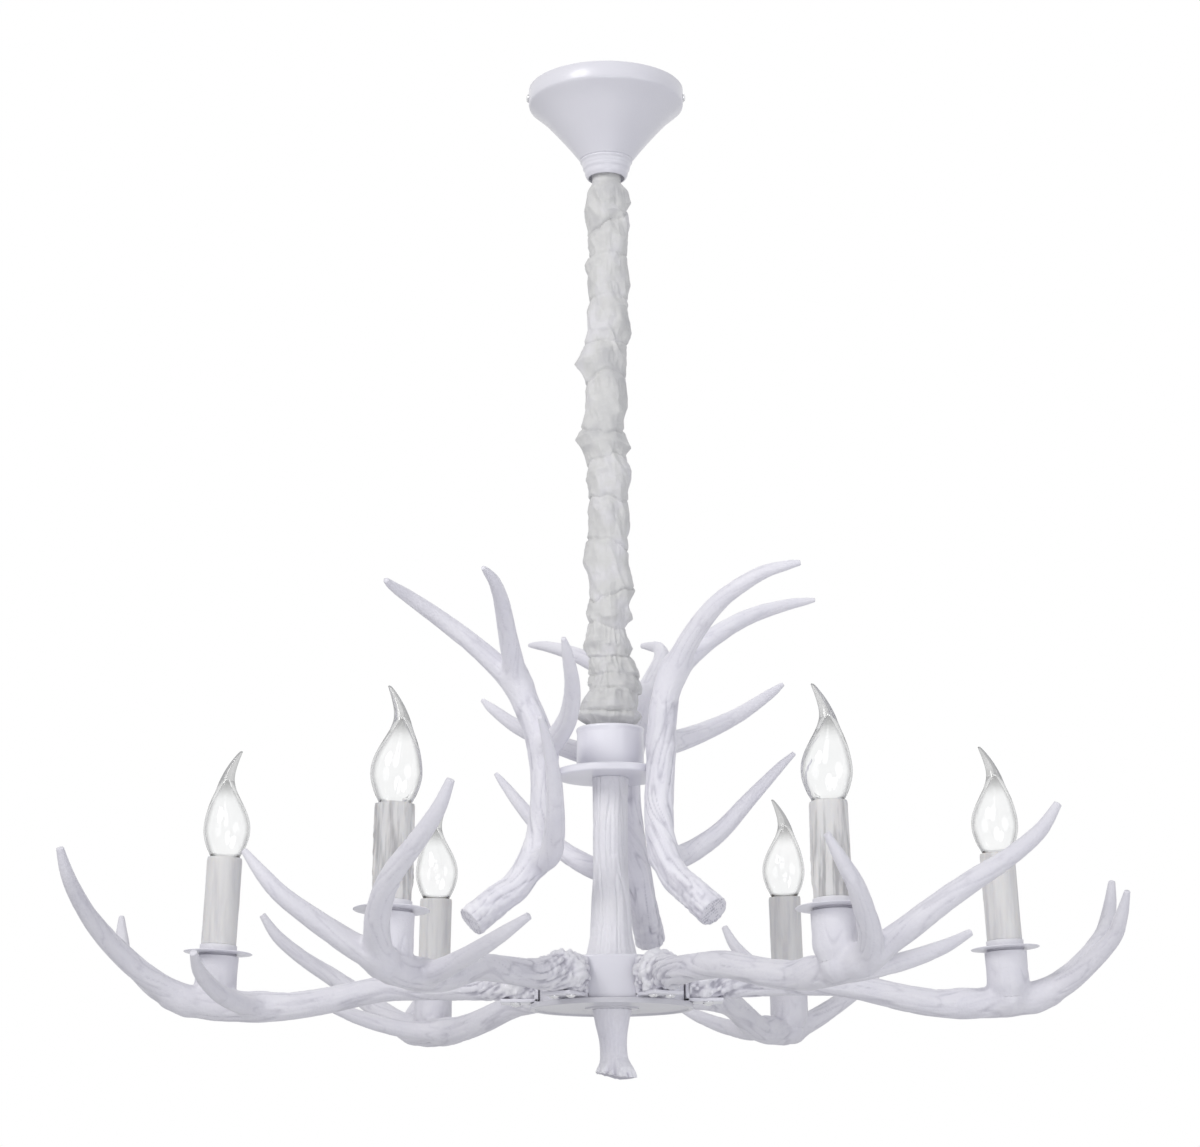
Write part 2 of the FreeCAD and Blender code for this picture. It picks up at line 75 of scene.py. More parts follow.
# eyes, rings and chain
SWING_Z = -62.0
TILT_Z = -494.8
SEAT = 2.85                  # from a bar's centre to the inner top of the link hung on it
WIRE = 2.0                   # radius of the wire
RING_HOLE = 6.0
LINK_HOLE = 6.0
LINKS = 13
RING_STEP = 2 * RING_HOLE + WIRE - SEAT
CHAIN_TOP = SWING_Z - RING_STEP
CHAIN_FOOT = TILT_Z + RING_STEP
LINK_INSIDE = (CHAIN_TOP - CHAIN_FOOT) / LINKS + SEAT - WIRE

# cap, column and hub
CAP_TOP = -513.0
CAP_R = 25.5
CAP_BOTTOM = -545.0
FLANGE_R = 41.0
FLANGE_BOTTOM = -551.0
COLUMN_R = 13.0
HUB_TOP = -688.0
HUB_R = 54.0
HUB_WALL = 3.0
DISC_R = 60.0
DISC_TOP = -719.5

# candle lamps
CANDLE_R = 13.5
HOLDER_R = 12.1
THREAD_PITCH = 2.82
DRIPS = [0.25, 0.2, 0.2, 0.25, 0.8, 0.7]   # depth of the wax runs, candle by candle

# fabric sleeve
CLOTH_TOP = -67.0
CLOTH_NECK = -77.0
CLOTH_BOTTOM = -512.3
CLOTH = 0.6                  # thickness
CLOTH_R = 14.4               # where the cloth hangs slack
CLOTH_SIDES = 150
CLOTH_ROWS = 620
CLOTH_LEAST = 12.5           # clear of the chain
NECK_CLOTH = 11.2            # where it goes up inside the collar
# ears that stand out of the cloth: height, direction seen from above, reach, half-length
EARS = [
    (-100, 190, 3.5, 20), (-112, 10, 3.5, 16), (-146, 175, 3.5, 12), (-199, 5, 4.5, 18),
    (-222, 178, 9.5, 24), (-284, 182, 8.5, 22), (-311, -3, 5.5, 20), (-352, 60, 5.0, 18),
    (-383, 176, 4.5, 26), (-405, 0, 5.5, 22), (-448, 205, 4.0, 16), (-160, 70, 5.0, 20),
    (-250, 95, 6.5, 22), (-330, 265, 3.5, 18), (-190, 290, 3.0, 16), (-268, 300, 3.0, 16)]
FOOT_R = 22.5                # the cloth piles up over the cap
FOLD_STEP = 33.0             # between creases; they crowd where the cloth piles up at the foot
FOOT_STEP = 12.0

# ---- antler shapes: (x, y, z, radius) --------------------
ARM_BEAM = [
    (57, 0, -702, 15.6), (70, 0, -702.5, 15.2), (84, -2, -703.5, 12.6), (103, -7, -705, 10.6),
    (135, -10, -705, 9.8), (170, -9, -706.5, 9.6), (205, -4, -714, 9.8), (237, 2, -719.5, 10.2),
    (270, 4, -720, 11.2), (300, 6, -718, 10.6), (324, 9, -712, 9.2)]
ARM_TALL = [
    (312, 6, -717, 8.8), (340, 22, -699, 8.6), (358, 37, -683, 8.0), (371, 55, -668, 7.2),
    (380, 77, -653, 6.2), (387, 98, -635, 5.0), (391.4, 111.5, -615.5, 2.6)]
ARM_INNER = [
    (314, 8, -716, 8.6), (338, -4, -704, 8.2), (364, -31, -679, 6.2),
    (370, -46, -663, 4.9), (373, -60, -646, 2.3)]
ARM_LOW = [
    (258, 4, -719, 8.6), (272, 26, -719, 7.6), (285, 55, -713, 6.4), (293, 85, -702.5, 5.0),
    (295, 110, -690.5, 2.4)]
UP_BEAM = [
    (73, -77, -661, 11.8), (58, -64.5, -645, 11.4), (45.5, -53, -631, 11.0), (36.5, -42, -604, 10.8),
    (35.6, -36.5, -574, 10.8), (37, -35.5, -545, 10.8), (38, -40, -520, 10.8),
    (41.8, -49.5, -494, 10.2), (49, -54, -476, 9.0)]
UP_TINE_1 = [
    (45, -52, -484, 9.0), (61, -75, -457, 7.8), (81, -95, -436, 6.6), (108, -109, -420.5, 5.2),
    (128, -112, -414.5, 3.6), (140, -111, -412, 1.8)]
UP_TINE_2 = [
    (47, -53, -479, 8.8), (76, -43, -453, 7.2), (104, -31, -434.5, 6.0), (130, -21, -424, 4.6),
    (147, -17, -419.8, 3.0), (155, -15.5, -418.3, 1.6)]
UP_TINE_3 = [
    (38, -35, -531, 9.4), (51, -16, -525.5, 8.4), (72, 7, -514, 7.2), (98, 25, -498.5, 5.8),
    (122, 35, -481, 4.0), (133, 38.5, -472.3, 1.8)]
UP_TINE_4 = [
    (37, -42, -616, 9.6), (54, -20, -612, 8.6), (80, -0.5, -593, 7.2), (105, 13, -565, 5.6),
    (128, 20.5, -540, 3.6), (141, 23, -527.5, 1.6)]
FINIAL = [
    (0, 0, -723.5, 14.5), (0, 0, -733, 12.6), (0.6, 0, -745, 10.4), (1.2, 0, -757, 10.2),
    (1.8, 0, -766, 12.2), (2.2, 0, -775.5, 14.6)]

# ---- camera, lights, floor -------------------------------
EYE = Vector((-0.0069, -2.2273, -0.924))
TILT = math.radians(13.409)
ROLL = math.radians(-0.3467)
FOCAL_PIXELS = 3004.6
FRAME_PIXELS = 1200
SENSOR = 36.0
SKY_STRENGTH = 0.55
FLOOR_HALF = 40.0
FLOOR_Z = -2.6
FLOOR_GLOW = 0.5             # how far the camera sees the floor as plain white

# ---- meshing ---------------------------------------------
TINY = 1e-6
FORK_SOFTNESS = 2.2
WIRE_SIDES = 18


def put(name, data):
    """A new object in the scene."""
    made = bpy.data.objects.new(name, data)
    bpy.context.scene.collection.objects.link(made)
    return made


def camera():
    data = bpy.data.cameras.new("camera")
    data.sensor_width = SENSOR
    data.lens = FOCAL_PIXELS / FRAME_PIXELS * SENSOR
    data.clip_end = 100
    eye = put("camera", data)
    turn = Euler((math.pi / 2 + TILT, 0, 0)).to_matrix() @ Matrix.Rotation(ROLL, 3, "Z")
    eye.matrix_world = Matrix.Translation(EYE) @ turn.to_4x4()
    bpy.context.scene.camera = eye


def area_light(name, place, aim, size, watts, colour):
    data = bpy.data.lights.new(name, "AREA")
    data.shape = "DISK"
    data.size = size
    data.energy = watts
    data.color = colour
    lamp = put(name, data)
    lamp.location = place
    lamp.rotation_euler = (Vector(aim) - Vector(place)).to_track_quat("-Z", "Y").to_euler()


def feed(tree, node, values):
    """Sets each input of a node, or links it where the value is another node's output."""
    for name, value in values.items():
        if isinstance(value, bpy.types.NodeSocket):
            tree.links.new(value, node.inputs[name])
        else:
            node.inputs[name].default_value = value


def seen_directly(tree):
    """1 for a camera, glossy or transmission ray, else 0."""
    path = tree.nodes.new("ShaderNodeLightPath")
    total = path.outputs["Is Camera Ray"]
    for name in ("Is Glossy Ray", "Is Transmission Ray"):
        add = tree.nodes.new("ShaderNodeMath")
        add.operation = "MAXIMUM"
        feed(tree, add, {0: total, 1: path.outputs[name]})
        total = add.outputs[0]
    return total


def blend(tree, share, first, second, output):
    """Sends the first shader, mixed with the second by share, to the tree's output node."""
    mix = tree.nodes.new("ShaderNodeMixShader")
    feed(tree, mix, {"Fac": share, 1: first, 2: second})
    feed(tree, tree.nodes[output], {"Surface": mix.outputs[0]})


def studio():
    scene = bpy.context.scene
    scene.view_settings.view_transform = "Standard"
    world = bpy.data.worlds.new("studio")
    scene.world = world
    world.use_nodes = True
    tree = world.node_tree
    back = tree.nodes["Background"]
    feed(tree, back, {"Color": (0.95, 0.955, 1.0, 1), "Strength": SKY_STRENGTH})
    white = tree.nodes.new("ShaderNodeBackground")
    feed(tree, white, {"Color": (1, 1, 1, 1)})
    blend(tree, seen_directly(tree), back.outputs[0], white.outputs[0], "World Output")
    area_light("key", (-1.6, -2.0, 1.0), (0, 0, -0.62), 1.4, 36, (1.0, 0.99, 0.97))
    area_light("fill", (2.2, -1.8, -0.4), (0, 0, -0.6), 1.8, 11, (0.96, 0.97, 1.0))
    area_light("top", (0.3, 0.8, 1.8), (0, 0, -0.6), 1.6, 6, (1, 1, 1))
    area_light("low", (0.3, -2.2, -1.5), (0, 0, -0.65), 1.2, 10, (0.98, 0.98, 1.0))


def floor():
    """A wide pale floor well under the hanging chandelier."""
    mesh = bpy.data.meshes.new("floor")
    corners = [(-1, -1), (1, -1), (1, 1), (-1, 1)]
    mesh.from_pydata([(x * FLOOR_HALF, y * FLOOR_HALF, FLOOR_Z) for x, y in corners], [], [(0, 1, 2, 3)])
    ground = put("floor", mesh)
    paint, tree, shader = material("floor")
    feed(tree, shader, {"Base Color": (0.82, 0.82, 0.82, 1), "Roughness": 0.9})
    white = tree.nodes.new("ShaderNodeEmission")
    share = tree.nodes.new("ShaderNodeMath")
    share.operation = "MULTIPLY"
    feed(tree, share, {0: seen_directly(tree), 1: FLOOR_GLOW})
    blend(tree, share.outputs[0], shader.outputs[0], white.outputs[0], "Material Output")
    mesh.materials.append(paint)


# ---- numbers ---------------------------------------------
def lattice(corner, seed):
    """A repeatable value from -1 to 1 at each whole-number place."""
    mask = 0xFFFFFFFF
    h = (corner[:, 0] * 374761393 + corner[:, 1] * 668265263 + corner[:, 2] * 974634777
         + seed * 1274126177) & mask
    h = ((h ^ (h >> 13)) * 1103515245) & mask
    h = ((h ^ (h >> 15)) * 668265263) & mask
    return (h ^ (h >> 16)) / 2147483648.0 - 1.0


def noise(points, seed=0):
    """Smooth noise, about -1 to 1, with features one unit wide."""
    base = np.floor(points).astype(np.int64)
    part = points - base
    part = part * part * part * (part * (part * 6 - 15) + 10)
    total = np.zeros(len(points))
    for corner in range(8):
        step = np.array([corner & 1, corner >> 1 & 1, corner >> 2 & 1])
        weight = np.prod(np.where(step, part, 1 - part), axis=1)
        total += weight * lattice(base + step, seed)
    return total


def smooth(value, low, high):
    t = np.clip((value - low) / (high - low), 0, 1)
    return t * t * (3 - 2 * t)


def full_turn(sides):
    return np.arange(sides) * 2 * math.pi / sides


def unit_circle(angles):
    """A row (x, y) for each angle, on a circle of radius 1."""
    return np.column_stack([np.cos(angles), np.sin(angles)])


def beside(plane, height):
    """Rows (x, y) with a third column, which may be one number for all."""
    return np.column_stack([plane, np.broadcast_to(height, len(plane))])


def ripple(plane, height, seed):
    """Noise over rows (x, y) at a height."""
    return noise(beside(plane, height), seed)


def valleys(value, sharp, low=0):
    """1 where the noise crosses 0, falling to low away from there."""
    return np.clip(1 - sharp * np.abs(value), low, 1)


def spline(stations, step):
    """Samples of the smooth curve through the stations, with its radius."""
    knots = np.array(stations, float)
    first = 2 * knots[0] - knots[1]
    last = 2 * knots[-1] - knots[-2]
    knots = np.vstack([first, knots, last])
    samples = []
    for a, b, c, d in zip(knots, knots[1:], knots[2:], knots[3:]):
        count = max(2, round(np.linalg.norm(c[:3] - b[:3]) / step))
        for t in np.arange(count) / count:
            samples.append(0.5 * (2 * b + (c - a) * t + (2 * a - 5 * b + 4 * c - d) * t ** 2
                                  + (3 * b - a - 3 * c + d) * t ** 3))
    return np.array(samples + [knots[-2]])


class Limb:
    """A beam, tine or post: its centre line, radius, and a steady frame round it."""

    def __init__(self, stations, flat_start=False, flat_end=False, relief=None):
        samples = spline(stations, 2.0)
        self.centre = samples[:, :3]
        self.radius = samples[:, 3]
        self.flat_start = flat_start
        self.flat_end = flat_end
        self.relief = relief
        along = np.gradient(self.centre, axis=0)
        self.along = along / np.linalg.norm(along, axis=1)[:, None]
        gaps = np.linalg.norm(np.diff(self.centre, axis=0), axis=1)
        self.length = np.concatenate([[0], np.cumsum(gaps)])
        side = np.cross(self.along[0], (0, 0, 1) if abs(self.along[0][2]) < 0.9 else (0, -1, 0))
        sides = []
        for way in self.along:
            side = side - way * side.dot(way)
            side = side / np.linalg.norm(side)
            sides.append(side)
        self.side = np.array(sides)
        self.rise = np.cross(self.along, self.side)

    def measure(self, points):
        """Distance outside the surface, and the way out."""
        near = np.empty(len(points), np.int64)
        for start in range(0, len(points), 4000):
            part = points[start:start + 4000]
            gaps = ((part[:, None, :] - self.centre[None]) ** 2).sum(2)
            near[start:start + 4000] = gaps.argmin(1)
        offset = points - self.centre[near]
        along = (offset * self.along[near]).sum(1)
        last = len(self.centre) - 1
        before = (near == 0) & (along < 0)
        after = (near == last) & (along > 0)
        radial = offset - self.along[near] * along[:, None]
        slope = np.gradient(self.radius, self.length)[near]
        inner = ~(before | after)
        radius = self.radius[near] + np.where(inner, slope * along, 0)
        round_end = (before & (not self.flat_start)) | (after & (not self.flat_end))
        out = np.where(round_end[:, None], offset, radial)
        reach = np.linalg.norm(out, axis=1) + 1e-9
        turn = np.arctan2((offset * self.rise[near]).sum(1), (offset * self.side[near]).sum(1))
        travel = self.length[near] + np.where(inner, along, 0)
        if self.relief:
            radius = radius + self.relief(travel, turn, radius, self.length[-1])
        distance = reach - radius
        way = out / reach[:, None]
        flat = (before & self.flat_start) | (after & self.flat_end)
        past = np.abs(along)
        capped = flat & (past > distance)
        distance = np.where(capped, past, distance)
        ends = self.along[near] * np.sign(along)[:, None]
        way = np.where(capped[:, None], ends, way)
        return distance, way


def grown(limbs, points):
    """Distance outside limbs grown together with soft forks, and the way out."""
    found = [limb.measure(points) for limb in limbs]
    distances = np.array([distance for distance, way in found])
    least = distances.min(0)
    weights = np.exp(-(distances - least) / FORK_SOFTNESS)
    total = weights.sum(0)
    ways = sum(weight[:, None] * way for weight, (distance, way) in zip(weights, found))
    ways = ways / (np.linalg.norm(ways, axis=1)[:, None] + 1e-9)
    return least - FORK_SOFTNESS * np.log(total), ways


# ---- meshes ----------------------------------------------
def ring_faces(count, sides, closed=True):
    """Quads between rings of points; closed joins the last ring to the first."""
    faces = []
    for row in range(count if closed else count - 1):
        low = row * sides
        high = (row + 1) % count * sides
        for i in range(sides):
            j = (i + 1) % sides
            faces.append((low + i, low + j, high + j, high + i))
    return faces


def end_faces(total, sides):
    """The first and the last ring, each filled with one face."""
    return [tuple(range(sides))[::-1], tuple(range(total - sides, total))]


def tube(limb, sides, grow):
    """Rings of points round a limb, for a first rough mesh."""
    angles = full_turn(sides)
    rings = []
    for i in range(0, len(limb.centre), 2):
        ring = np.cos(angles)[:, None] * limb.side[i] + np.sin(angles)[:, None] * limb.rise[i]
        rings.append(limb.centre[i] + (limb.radius[i] + grow) * ring)
    verts = np.vstack(rings)
    return verts, end_faces(len(verts), sides) + ring_faces(len(rings), sides, closed=False)


def mesh_from(name, verts, faces):
    mesh = bpy.data.meshes.new(name)
    mesh.from_pydata([tuple(v) for v in np.asarray(verts)], [], faces)
    mesh.update()
    return mesh


def outward(mesh):
    """The mesh with all its faces turned outward."""
    flip = bmesh.new()
    flip.from_mesh(mesh)
    bmesh.ops.recalc_face_normals(flip, faces=flip.faces)
    flip.to_mesh(mesh)
    flip.free()
    return mesh


def add(name, mesh):
    piece = put(name, mesh)
    mesh.shade_smooth()
    return piece


def coords(mesh):
    flat = np.empty(len(mesh.vertices) * 3)
    mesh.vertices.foreach_get("co", flat)
    return flat.reshape(-1, 3)


def set_coords(mesh, points):
    mesh.vertices.foreach_set("co", np.asarray(points, float).ravel())
    mesh.update()


def applied(piece):
    """The piece's mesh with its modifiers carried out; the piece itself goes."""
    bpy.context.view_layer.update()
    depsgraph = bpy.context.evaluated_depsgraph_get()
    mesh = bpy.data.meshes.new_from_object(piece.evaluated_get(depsgraph))
    bpy.data.objects.remove(piece)
    return mesh


def carved(name, limbs, voxel=1.1, shape=None):
    """One skin over all limbs: a voxel mesh drawn on to their common surface."""
    verts = []
    faces = []
    for limb in limbs:
        points, quads = tube(limb, 12, 0.3)
        faces += [tuple(i + len(verts) for i in quad) for quad in quads]
        verts += list(points)
    rough = add("rough", mesh_from("rough", np.array(verts) * MM, faces))
    remesh = rough.modifiers.new("remesh", "REMESH")
    remesh.mode = "VOXEL"
    remesh.voxel_size = voxel * MM
    mesh = applied(rough)
    mesh.name = name
    points = coords(mesh) / MM
    for _ in range(4):
        distance, way = grown(limbs, points)
        points = points - way * np.clip(distance, -1.5, 1.5)[:, None]
    if shape:
        points = shape(points)
    set_coords(mesh, points * MM)
    return mesh


def turned(name, profile, sides=96, closed=True):
    """A shape turned about Z through (radius, z) points; a radius of 0 closes it."""
    verts = []
    starts = []
    for radius, z in profile:
        starts.append(len(verts))
        if radius < TINY:
            verts.append((0, 0, z))
        else:
            verts += [(radius * math.cos(a), radius * math.sin(a), z) for a in full_turn(sides)]
    faces = []
    rows = list(zip(starts, profile))
    pairs = list(zip(rows, rows[1:]))
    if closed:
        pairs.append((rows[-1], rows[0]))
    for (a, (ra, _)), (b, (rb, _)) in pairs:
        for i in range(sides):
            j = (i + 1) % sides
            if ra < TINY and rb < TINY:
                continue
            if ra < TINY:
                faces.append((a, b + j, b + i))
            elif rb < TINY:
                faces.append((a + i, a + j, b))
            else:
                faces.append((a + i, a + j, b + j, b + i))
    return outward(mesh_from(name, np.array(verts, float) * MM, faces))


def rounded(profile, radius=0.4, steps=3):
    """The profile with each corner rounded, as a closed loop."""
    points = [np.array(p, float) for p in profile]
    soft = []
    for i, point in enumerate(points):
        back = points[i - 1] - point
        ahead = points[(i + 1) % len(points)] - point
        back_length = np.linalg.norm(back)
        ahead_length = np.linalg.norm(ahead)
        if min(point[0], back_length, ahead_length) < TINY:
            soft.append(point)
            continue
        cut = min(radius, back_length * 0.4, ahead_length * 0.4)
        start = point + back / back_length * cut
        end = point + ahead / ahead_length * cut
        for t in np.linspace(0, 1, steps + 1):
            soft.append((1 - t) ** 2 * start + 2 * t * (1 - t) * point + t * t * end)
    return [tuple(p) for p in soft]


def on_post(mesh):
    """From the candle's own frame to the top of the first arm's post."""
    mesh.transform(Matrix.Translation(POST * MM) @ Matrix.Rotation(-POST_TILT, 4, "Y"))
    return mesh


def moved(mesh, matrix):
    copy = mesh.copy()
    copy.transform(matrix)
    return copy


def spun(mesh, degrees):
    return moved(mesh, Matrix.Rotation(math.radians(degrees), 4, "Z"))


# ---- materials -------------------------------------------
def noise_node(tree, vector, scale, detail):
    made = tree.nodes.new("ShaderNodeTexNoise")
    feed(tree, made, {"Scale": scale, "Detail": detail, "Roughness": 0.55, "Vector": vector})
    return made.outputs["Fac"]


def ramp(tree, value, stops):
    made = tree.nodes.new("ShaderNodeValToRGB")
    elements = made.color_ramp.elements
    while len(elements) < len(stops):
        elements.new(0.5)
    for element, (place, colour) in zip(elements, stops):
        element.position = place
        element.color = (*colour, 1)
    feed(tree, made, {"Fac": value})
    return made.outputs["Color"]


def grey(tone):
    return (tone, tone, tone)


def dimmed(colour, tone):
    return tuple(part * tone for part in colour)


def mottled(tree, vector, scale, detail, low, high):
    """A colour that wanders between low and high."""
    return ramp(tree, noise_node(tree, vector, scale, detail), [(0.3, low), (0.7, high)])


def painted(tree, name):
    """The value of that name, kept on the mesh's points."""
    made = tree.nodes.new("ShaderNodeAttribute")
    made.attribute_name = name
    return made.outputs["Fac"]


def stretched(tree, scale=(1, 1, 1)):
    """Object coordinates, squeezed or stretched along each axis."""
    place = tree.nodes.new("ShaderNodeTexCoord")
    mapping = tree.nodes.new("ShaderNodeMapping")
    feed(tree, mapping, {"Scale": scale, "Vector": place.outputs["Object"]})
    return mapping.outputs["Vector"]


def multiplied(tree, first, second):
    mix = tree.nodes.new("ShaderNodeMix")
    mix.data_type = "RGBA"
    mix.blend_type = "MULTIPLY"
    feed(tree, mix, {"Factor": 1.0, "A": first, "B": second})
    return mix.outputs["Result"]


def bumped(tree, shader, heights):
    """Adds bumps from (height output, depth in millimetres) pairs."""
    normal = None
    for height, depth in heights:
        bump = tree.nodes.new("ShaderNodeBump")
        feed(tree, bump, {"Strength": 1.0, "Distance": depth * MM, "Height": height})
        if normal:
            feed(tree, bump, {"Normal": normal})
        normal = bump.outputs["Normal"]
    feed(tree, shader, {"Normal": normal})


def material(name):
    made = bpy.data.materials.new(name)
    made.use_nodes = True
    return made, made.node_tree, made.node_tree.nodes["Principled BSDF"]


def resin(name, tone=1.0):
    """Cast resin sprayed white, with painted shade greying its grooves; tone dims the whole coat as painted
    shade for a part.
    """
    made, tree, shader = material(name)
    plain = stretched(tree)
    # painted shade: deeper in a groove, the colour darkens towards grey lavender
    depth = ramp(tree, painted(tree, "groove_shade"), [
        (0.0, dimmed((0.885, 0.88, 0.91), tone)),
        (0.45, dimmed((0.81, 0.80, 0.85), tone)),
        (1.0, dimmed((0.50, 0.49, 0.55), tone))])
    mottle = mottled(tree, plain, 38, 5.0, (0.94, 0.94, 0.96), grey(1.0))
    fine = noise_node(tree, plain, 420, 4.0)
    grain = noise_node(tree, plain, 1500, 3.0)
    bumped(tree, shader, [(fine, 0.45), (grain, 0.12)])
    rough = mottled(tree, plain, 90, 3.0, grey(0.42), grey(0.58))
    feed(tree, shader, {"Base Color": multiplied(tree, depth, mottle), "Roughness": rough})
    return made


def enamel(name, tone=1.0):
    """White lacquer on steel, with faint orange peel; a tone below 1 dims it as painted shade, above 1
    brightens it as painted light.
    """
    made, tree, shader = material(name)
    plain = stretched(tree)
    low = dimmed((0.71, 0.705, 0.76), tone)
    high = dimmed((0.75, 0.745, 0.795), tone)
    coat = mottled(tree, plain, 14, 3.0, low, high)
    bumped(tree, shader, [(noise_node(tree, plain, 700, 2.0), 0.06)])
    feed(tree, shader, {"Base Color": coat, "Roughness": 0.33, "Coat Weight": 0.25,
                        "Coat Roughness": 0.12})
    return made


def candle_plastic(name, streak=0.61):
    """Ivory tube with runs of wax down it; streak is the tone of the lines between them."""
    made, tree, shader = material(name)
    runs = stretched(tree, (1, 1, 0.09))
    tone = ramp(tree, noise_node(tree, runs, 210, 4.0), [
        (0.36, (streak, streak * 0.985, streak)),
        (0.52, (0.69, 0.68, 0.675)),
        (0.7, (0.725, 0.715, 0.705))])
    ribs = noise_node(tree, runs, 260, 3.0)
    grain = noise_node(tree, stretched(tree), 1300, 3.0)
    bumped(tree, shader, [(ribs, 0.5), (grain, 0.08)])
    feed(tree, shader, {"Base Color": tone, "Roughness": 0.5, "Subsurface Weight": 0.15,
                        "Subsurface Radius": (0.004, 0.003, 0.002), "Subsurface Scale": 0.5})
    return made


def sleeve_fabric():
    """Soft satin with a fine weave, off-white with duller patches."""
    made, tree, shader = material("sleeve_fabric")
    plain = stretched(tree)
    tone = ramp(tree, noise_node(tree, plain, 42, 4.0), [
        (0.32, (0.56, 0.56, 0.565)),
        (0.5, (0.655, 0.655, 0.645)),
        (0.68, (0.71, 0.705, 0.725))])
    weave = tree.nodes.new("ShaderNodeTexWave")
    weave.bands_direction = "Z"
    feed(tree, weave, {"Scale": 700, "Distortion": 1.5, "Vector": plain})
    bumped(tree, shader, [(weave.outputs["Fac"], 0.05), (noise_node(tree, plain, 900, 3.0), 0.10)])
    feed(tree, shader, {"Base Color": tone, "Roughness": 0.55, "Sheen Weight": 0.35,
                        "Sheen Roughness": 0.4})
    return made


def metal(name, colour, roughness):
    """Bare metal with faint upright scratches."""
    made, tree, shader = material(name)
    plain = stretched(tree, (1, 1, 0.15))
    scratched = mottled(tree, plain, 160, 4.0, dimmed(colour, 0.86), colour)
    bumped(tree, shader, [(noise_node(tree, plain, 900, 3.0), 0.03)])
    feed(tree, shader, {"Base Color": scratched, "Metallic": 1.0, "Roughness": roughness})
    return made


def holder_plastic():
    made, tree, shader = material("holder_plastic")
    plain = stretched(tree)
    tone = mottled(tree, plain, 80, 3.0, (0.78, 0.78, 0.76), (0.84, 0.84, 0.82))
    bumped(tree, shader, [(noise_node(tree, plain, 1100, 3.0), 0.06)])
    feed(tree, shader, {"Base Color": tone, "Roughness": 0.48})
    return made


def glass():
    """Clear glass with painted shade greying its rim and its solid tail."""
    made, tree, shader = material("clear_glass")
    plain = stretched(tree)
    tint = mottled(tree, plain, 30, 2.0, (0.955, 0.96, 0.96), grey(0.985))
    # painted shade: the glass greys where its surface turns away, at the rim
    rim = tree.nodes.new("ShaderNodeLayerWeight")
    feed(tree, rim, {"Blend": 0.5})
    rim_shade = ramp(tree, rim.outputs["Facing"], [(0.35, grey(1.0)), (0.8, (0.30, 0.30, 0.31))])
    painted_tail_shade = ramp(tree, painted(tree, "tail_shade"), [(0.0, grey(1.0)), (1.0, grey(0.62))])
    colour = multiplied(tree, multiplied(tree, tint, rim_shade), painted_tail_shade)
    feed(tree, shader, {"Base Color": colour, "Transmission Weight": 1.0, "Roughness": 0.02, "IOR": 1.45})
    return made


# ---- antlers ---------------------------------------------
def grooves(depth, seed, burr=None, pearls=0.0, fade=0.0):
    """Relief of an antler: long grooves, pearls near the root and a burr ring."""
    def relief(travel, turn, radius, length):
        sway = noise(np.column_stack([travel / 60, travel * 0, travel * 0]), seed + 7) * 0.9
        circle = unit_circle(turn + sway)
        broad = ripple(circle * 1.9, travel / 34, seed)
        narrow = ripple(circle * 4.2, travel / 16, seed + 1)
        cut = -valleys(broad, 4.5) - 0.55 * valleys(narrow, 3.2)
        tip = np.clip(radius / 9.0, 0.12, 1.3) * smooth(length - travel, 2, 30)
        tip = tip * (1 - fade * smooth(travel, 25, 110))
        height = cut * depth * tip + 0.35 * depth * tip * narrow
        if pearls:
            skin = circle * radius[:, None]
            grains = ripple(skin / 2.7, travel / 2.7, seed + 2)
            coarse = ripple(skin / 5.0, travel / 5.0, seed + 4)
            near = 1 - smooth(travel, 16, 52)
            height += pearls * near * (np.clip(grains, -0.6, 1) + 0.5 * coarse)
        if burr:
            place, rise = burr
            knobs = 1 + 0.75 * ripple(circle * 3.4, travel / 30, seed + 3)
            height += rise * np.exp(-((travel - place) / 5.0) ** 2) * knobs
        return height
    return relief


def groove_shade_marks(mesh, limbs):
    """How deep each point lies in a groove, 0 to 1, for the painted groove shade."""
    points = coords(mesh) / MM
    kept = [limb.relief for limb in limbs]
    for limb in limbs:
        limb.relief = None
    distance, _ = grown(limbs, points)
    for limb, relief in zip(limbs, kept):
        limb.relief = relief
    value = np.clip(0.35 - distance / 1.6, 0, 1)
    mark = mesh.attributes.new("groove_shade", "FLOAT", "POINT")
    mark.data.foreach_set("value", value.astype(np.float32))


def post_limb():
    rings = [(-42, 11), (-33, 15), (-20, 15.4), (PAN_SEAT, 15.6)]
    return [(POST.x + z * math.sin(-POST_TILT), 0, POST.z + z * math.cos(-POST_TILT), r)
            for z, r in rings]


def seat_root(points):
    """The root sits flat on its bracket's leg."""
    low = (points[:, 0] < LEG_OUT) & (points[:, 2] < ROOT_FLAT)
    points[low, 2] = ROOT_FLAT
    return points


def arm_mesh():
    limbs = [
        Limb(ARM_BEAM, flat_start=True, relief=grooves(0.8, 11, burr=(13, 2.4), pearls=1.5, fade=0.5)),
        Limb(ARM_TALL, relief=grooves(0.42, 21)),
        Limb(ARM_INNER, relief=grooves(0.42, 31)),
        Limb(ARM_LOW, relief=grooves(0.4, 41)),
        Limb(post_limb(), flat_end=True, relief=grooves(0.35, 51))]
    outline = [(BORE, PAN_SEAT - 3), (SPIGOT_R, PAN_SEAT - 3), (SPIGOT_R, 0), (BORE, 0)]
    spigot = on_post(turned("spigot", rounded(outline), 80))
    mesh = joined("arm", [carved("arm", limbs, shape=seat_root), spigot])
    groove_shade_marks(mesh, limbs)
    return mesh


def seat_beam(points):
    """The beam is notched to stand against the flange's rim."""
    rim = FLANGE_R + 0.1
    reach = np.hypot(points[:, 0], points[:, 1])
    level = (points[:, 2] < CAP_BOTTOM + 0.2) & (points[:, 2] > FLANGE_BOTTOM - 0.2)
    held = level & (reach < rim)
    points[held, :2] *= (rim / reach[held])[:, None]
    return points


